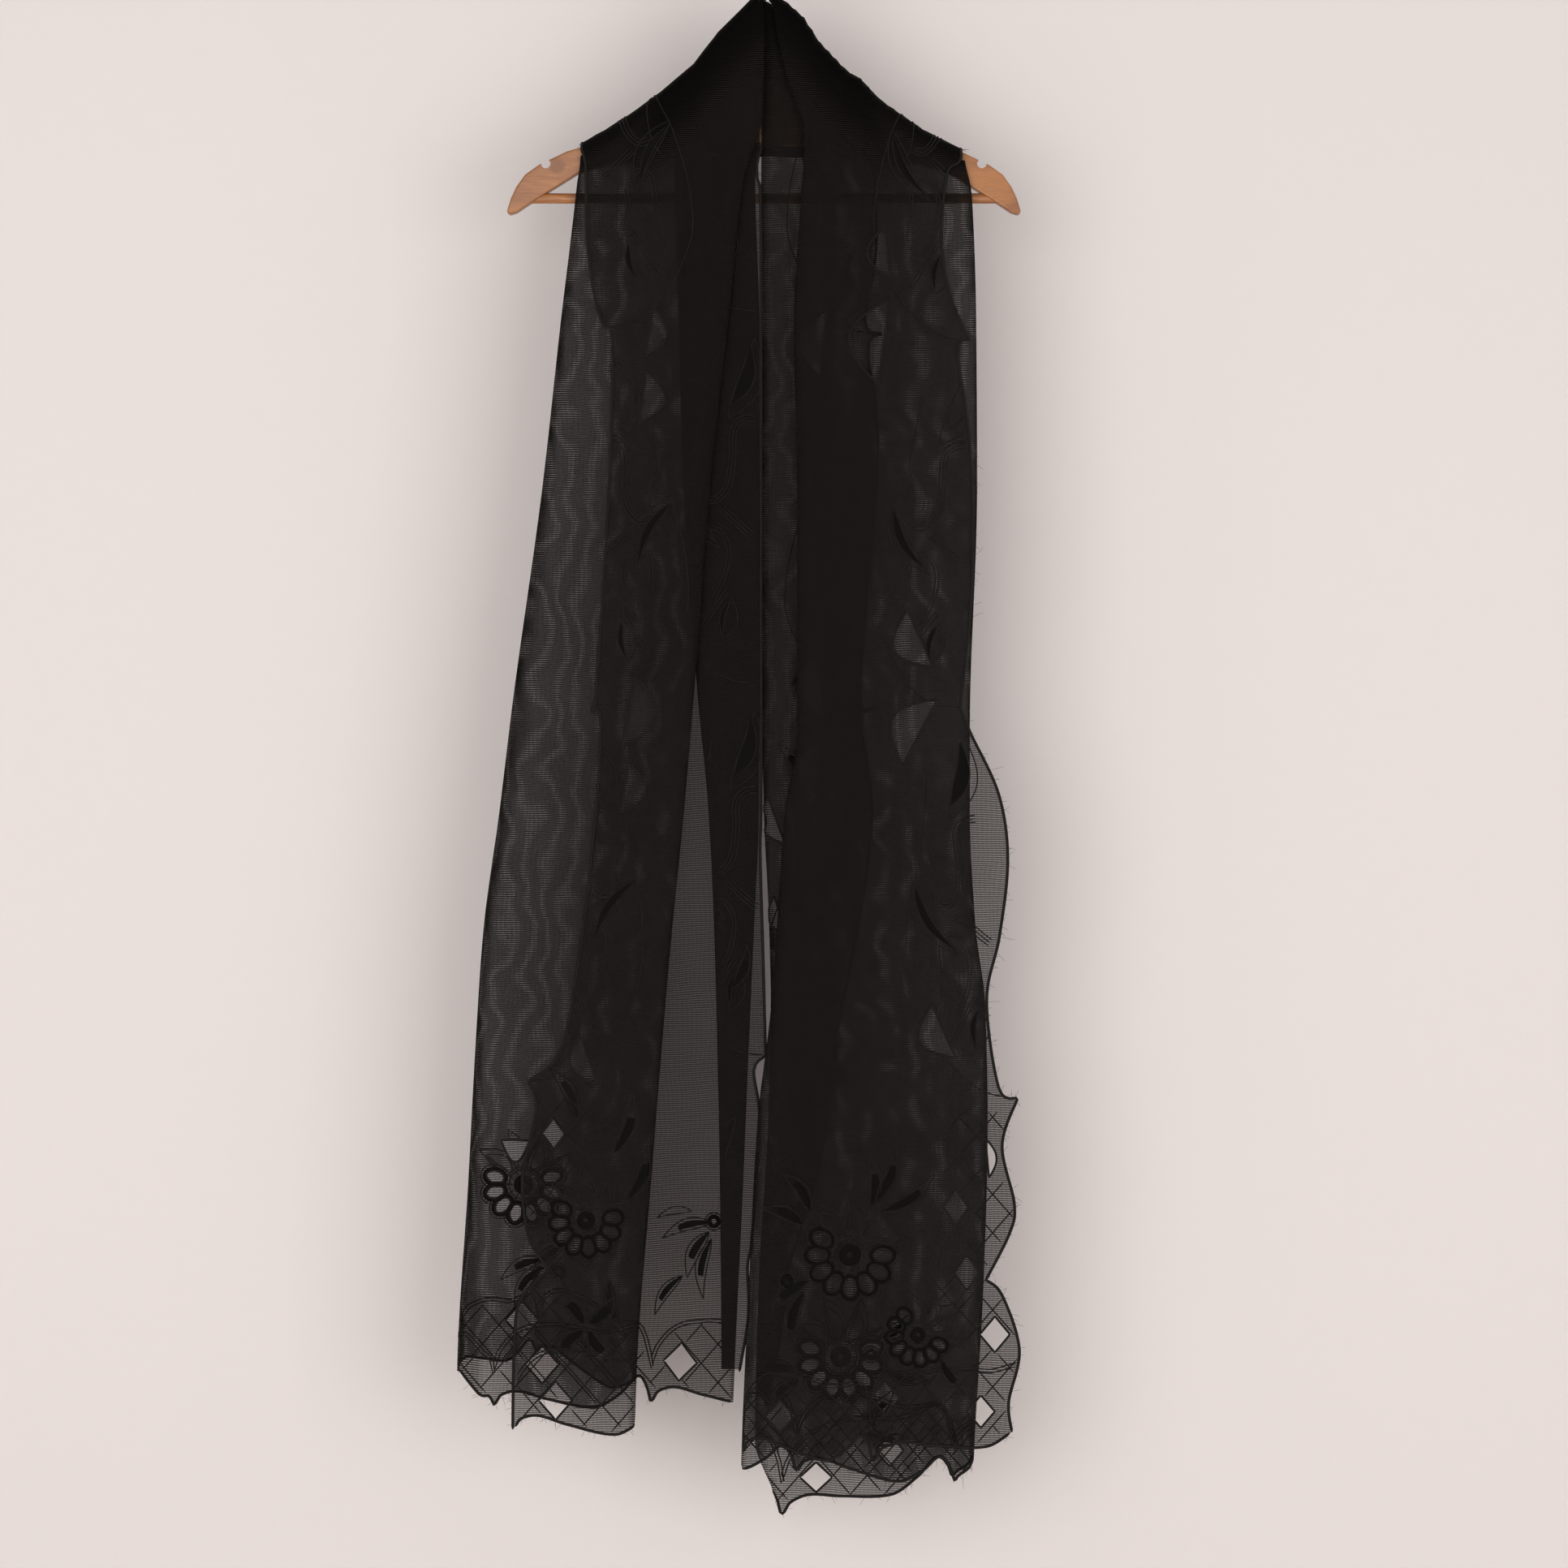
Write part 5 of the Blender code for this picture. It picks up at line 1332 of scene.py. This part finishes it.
def in_lattice(name, points):
    """Which chart points are in the lattice of a fall."""
    band = hem_drop(HEMS[name], points[:, 0]) - points[:, 1] < arch_height(HEMS[name], points[:, 0])
    if name in FREE_EDGES:
        rows = edge_curve(FREE_EDGES[name][1], 5.0)
        edge = np.interp(points[:, 1], rows[:, 1], rows[:, 0])
        start = TIPS[name][1][-1][1] + 8.0
        fade = 8.0 * np.sin((points[:, 1] - start) / 22.0)
        band |= (np.abs(points[:, 0] - edge) < SIDE_BAND + fade) & (points[:, 1] > start)
    return band


for name in FALLS:
    outline = outlines[name]
    low = outline.min(axis=0)
    high = outline.max(axis=0)
    top = TIPS[name][1][-1][1] if name in TIPS else high[1] - 120.0
    lines = []
    slope = CELL_HIGH / CELL_WIDE
    span = high[1] - top + 20.0
    for way in (-1.0, 1.0):
        start = low[0] - span / slope - CELL_WIDE
        while start < high[0] + span / slope:
            down = np.arange(0.0, span, 4.0)
            shift = span / slope if way < 0 else 0
            line = np.stack((start + way * down / slope + shift, top + down), axis=1)
            for part in kept_parts(line, in_lattice(name, line)):
                lines += [(run, *LINE_CORD) for run in runs_inside(part, name)]
            start += CELL_WIDE
    across = np.arange(low[0], high[0], 3.0)
    drops = hem_drop(HEMS[name], across) - arch_height(HEMS[name], across)
    arch = np.stack((across, drops), axis=1)
    for gap in (0.0, LINE_GAP):
        lines += [(run, *LINE_CORD) for run in runs_inside(beside(arch, gap), name)]
    embroider(name + "_lattice", name, lines, cord_thread, 4)


# The flowers and leaf sprays
# Open flowers stand over the hems: a ring of cut petals with satin rims on the lower side, large corded
# petals above, and a satin middle. Sprays of narrow satin leaves with a corded outline lie between them.
FLOWERS = [row for row in CUTS if row[1] == "flower"]
# start and end of each leaf, its bow, and whether a satin rib lies along it from its stalk
SPRAYS = {
    "left_back": [
        ((-44, 1102), (-88, 1116), 5.5, True), ((-47, 1110), (-66, 1150), 6.5, True),
        ((-45, 1116), (-52, 1168), 5.5, True), ((-62, 1092), (-92, 1098), 3.5, False),
        ((-70, 1148), (-94, 1182), 5.0, True), ((-170, 1120), (-200, 1152), 6.0, True),
    ],
    "left_middle": [
        ((-188, 1132), (-226, 1150), 6.0, True), ((-190, 1138), (-214, 1172), 6.0, True),
        ((-160, 1010), (-184, 968), 6.5, True), ((-132, 1150), (-118, 1200), 6.0, True),
    ],
    "left_front": [
        ((-150, 1186), (-128, 1164), 7.5, True), ((-154, 1186), (-176, 1164), 7.5, True),
        ((-150, 1192), (-128, 1216), 7.5, True), ((-154, 1192), (-176, 1216), 7.5, True),
        ((-128, 1040), (-112, 990), 7.0, True), ((-116, 1080), (-100, 1034), 6.0, True),
    ],
    "right_front": [
        ((96, 1082), (112, 1034), 6.5, True), ((92, 1086), (90, 1042), 5.5, True),
        ((102, 1090), (146, 1058), 6.5, True), ((40, 1090), (16, 1058), 6.0, True),
        ((34, 1102), (-2, 1088), 6.0, True), ((38, 1150), (8, 1176), 7.0, True),
        ((34, 1160), (24, 1208), 7.0, True), ((104, 1158), (116, 1200), 6.5, True),
        ((148, 1172), (176, 1140), 6.5, True), ((152, 1218), (176, 1244), 6.0, True),
    ],
    "right_middle": [
        ((30, 1236), (4, 1262), 6.5, True), ((26, 1226), (-4, 1230), 6.0, True),
        ((98, 1200), (130, 1176), 6.5, True), ((104, 1226), (142, 1236), 6.0, True),
    ],
    "right_back": [
        ((84, 1270), (112, 1244), 6.0, True), ((88, 1282), (126, 1286), 6.0, True),
        ((24, 640), (36, 600), 5.0, True), ((30, 720), (12, 690), 5.0, True),
    ],
    "right_inner": [
        ((40, 1120), (18, 1080), 5.0, True), ((30, 1190), (8, 1160), 5.0, True),
    ],
    "inner_flap": [
        ((-24, 1010), (-34, 1052), 5.0, True), ((-28, 900), (-14, 862), 5.0, True),
    ],
}
RIM = 3.2
RIB_SHARE = 0.55
RIB_LENGTH = 0.7
# satin rings at the stalks of the sprays: fall, across, drop, inner and outer radius
EYES = [
    ("left_back", -43.0, 1101.0, 2.2, 6.0), ("right_front", 20.0, 1150.0, 2.0, 5.4),
    ("left_middle", -176.0, 1142.0, 2.0, 5.4), ("right_middle", 92.0, 1214.0, 2.0, 5.4),
]


def ring(across, drop, wide, high, turn, count=28):
    """Closed oval line on the chart."""
    t = np.linspace(0, math.tau, count + 1)
    return turned(np.stack((wide * np.cos(t), high * np.sin(t)), axis=1), across, drop, turn)


def flower_drawing(across, drop, spread, petal, turn):
    """Cords and satin shapes of one flower."""
    reach = spread * 0.5
    cords = [ring(across, drop, reach - petal * 0.62, reach - petal * 0.62, 0),
             ring(across, drop, reach - petal * 0.62 - LINE_GAP, reach - petal * 0.62 - LINE_GAP, 0)]
    satin = [(ring(across, drop, reach * 0.1, reach * 0.1, 0),
              ring(across, drop, reach * 0.34, reach * 0.34, 0))]
    for k in range(PETALS):
        angle = turn + FLOWER_SPREAD * k / (PETALS - 1) - FLOWER_START
        x = across + reach * math.cos(math.radians(angle))
        d = drop + reach * math.sin(math.radians(angle))
        wide = petal * PETAL_LONG
        high = petal * PETAL_WIDE
        satin.append((ring(x, d, wide + 0.6, high + 0.6, angle), ring(x, d, wide + RIM, high + RIM, angle)))
        cords.append(ring(x, d, wide + RIM + 2.0, high + RIM + 2.0, angle))
    for k in range(4):
        angle = math.radians(turn + 218 + 36 * k)
        way = np.array([math.cos(angle), math.sin(angle)])
        middle = np.array([across, drop])
        for size in (1.0, 0.78):
            end = middle + way * reach * (0.6 + 1.35 * size)
            cords += leaf_sides(middle + way * reach * 0.5, end, reach * 0.34 * size)
        cords.append(np.array([middle + way * reach * 0.6, middle + way * reach * 1.6]))
    for k in range(12):
        way = np.array([math.cos(k * math.tau / 12), math.sin(k * math.tau / 12)])
        middle = np.array([across, drop])
        cords.append(np.array([middle + way * reach * 0.36, middle + way * reach * 0.62]))
    return cords, satin


for name in surfaces:
    lines = []
    leaves = []
    for panel, kind, across, drop, length, width, turn in FLOWERS:
        if panel == name:
            drawn, satin = flower_drawing(across, drop, length, width, turn)
            for line in drawn:
                lines += [(run, *LINE_CORD) for run in cloth_runs(name, resampled(line, 2.6))]
            leaves += [pair for pair in satin if inside((pair[0] + pair[1]) / 2, outlines[name]).all()]
    for start, end, bow, ribbed in SPRAYS.get(name, []):
        for line in leaf_sides(start, end, bow):
            lines += [(run, *LINE_CORD) for run in cloth_runs(name, resampled(line, 2.6))]
        if ribbed:
            one, two = leaf_sides(start, end, bow * RIB_SHARE)
            filled = max(4, int(len(one) * RIB_LENGTH))
            if sum(len(run) for run in cloth_runs(name, (one + two) / 2)) > 0.9 * len(one):
                leaves.append((one[:filled], two[:filled]))
    for panel, across, drop, inner, outer in EYES:
        if panel == name:
            leaves.append((ring(across, drop, inner, inner, 0), ring(across, drop, outer, outer, 0)))
            lines.append((ring(across, drop, outer + 1.6, outer + 1.6, 0), *LINE_CORD))
    if lines:
        embroider(name + "_flower_cord", name, lines, cord_thread)
    if leaves:
        satin_mesh(name + "_flower_satin", name, leaves, satin_thread)


# The frayed threads
# The cloth is trimmed close to its cord by hand, so that cut thread ends stand out along the edges.
FRAY_STEP = 5.0
FRAY_LONG = (1.5, 6.5)
FRAY_THICK = 0.28
dice = random.Random(7)
for name in surfaces:
    threads = []
    for edge in bare_edges[name]:
        line = resampled(edge, 1.0)
        k = dice.uniform(2, 8)
        while k < len(line) - 3:
            here = line[int(k)]
            way = line[int(k) + 2] - line[int(k) - 2]
            out = np.array([-way[1], way[0]]) / max(math.hypot(*way), 1e-6)
            if inside((here + out * 2.0)[None, :], outlines.get(name, outlines["left_back"]))[0]:
                out = -out
            long = dice.uniform(*FRAY_LONG) * (1.8 if dice.random() < 0.06 else 1.0)
            lean = way / max(math.hypot(*way), 1e-6) * dice.uniform(-1.1, 1.1)
            t = np.linspace(0, 1, 5)[:, None]
            curl = np.array([dice.uniform(-1, 1), dice.uniform(-1, 1)]) * long * 0.3
            threads.append((here + (out + lean) * long * t + curl * t * t, FRAY_THICK, FRAY_THICK))
            k += dice.expovariate(1 / FRAY_STEP) + 0.8
    embroider(name + "_fray", name, threads, cord_thread, 3)


# The sizes of everything but the backdrop
low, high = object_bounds()
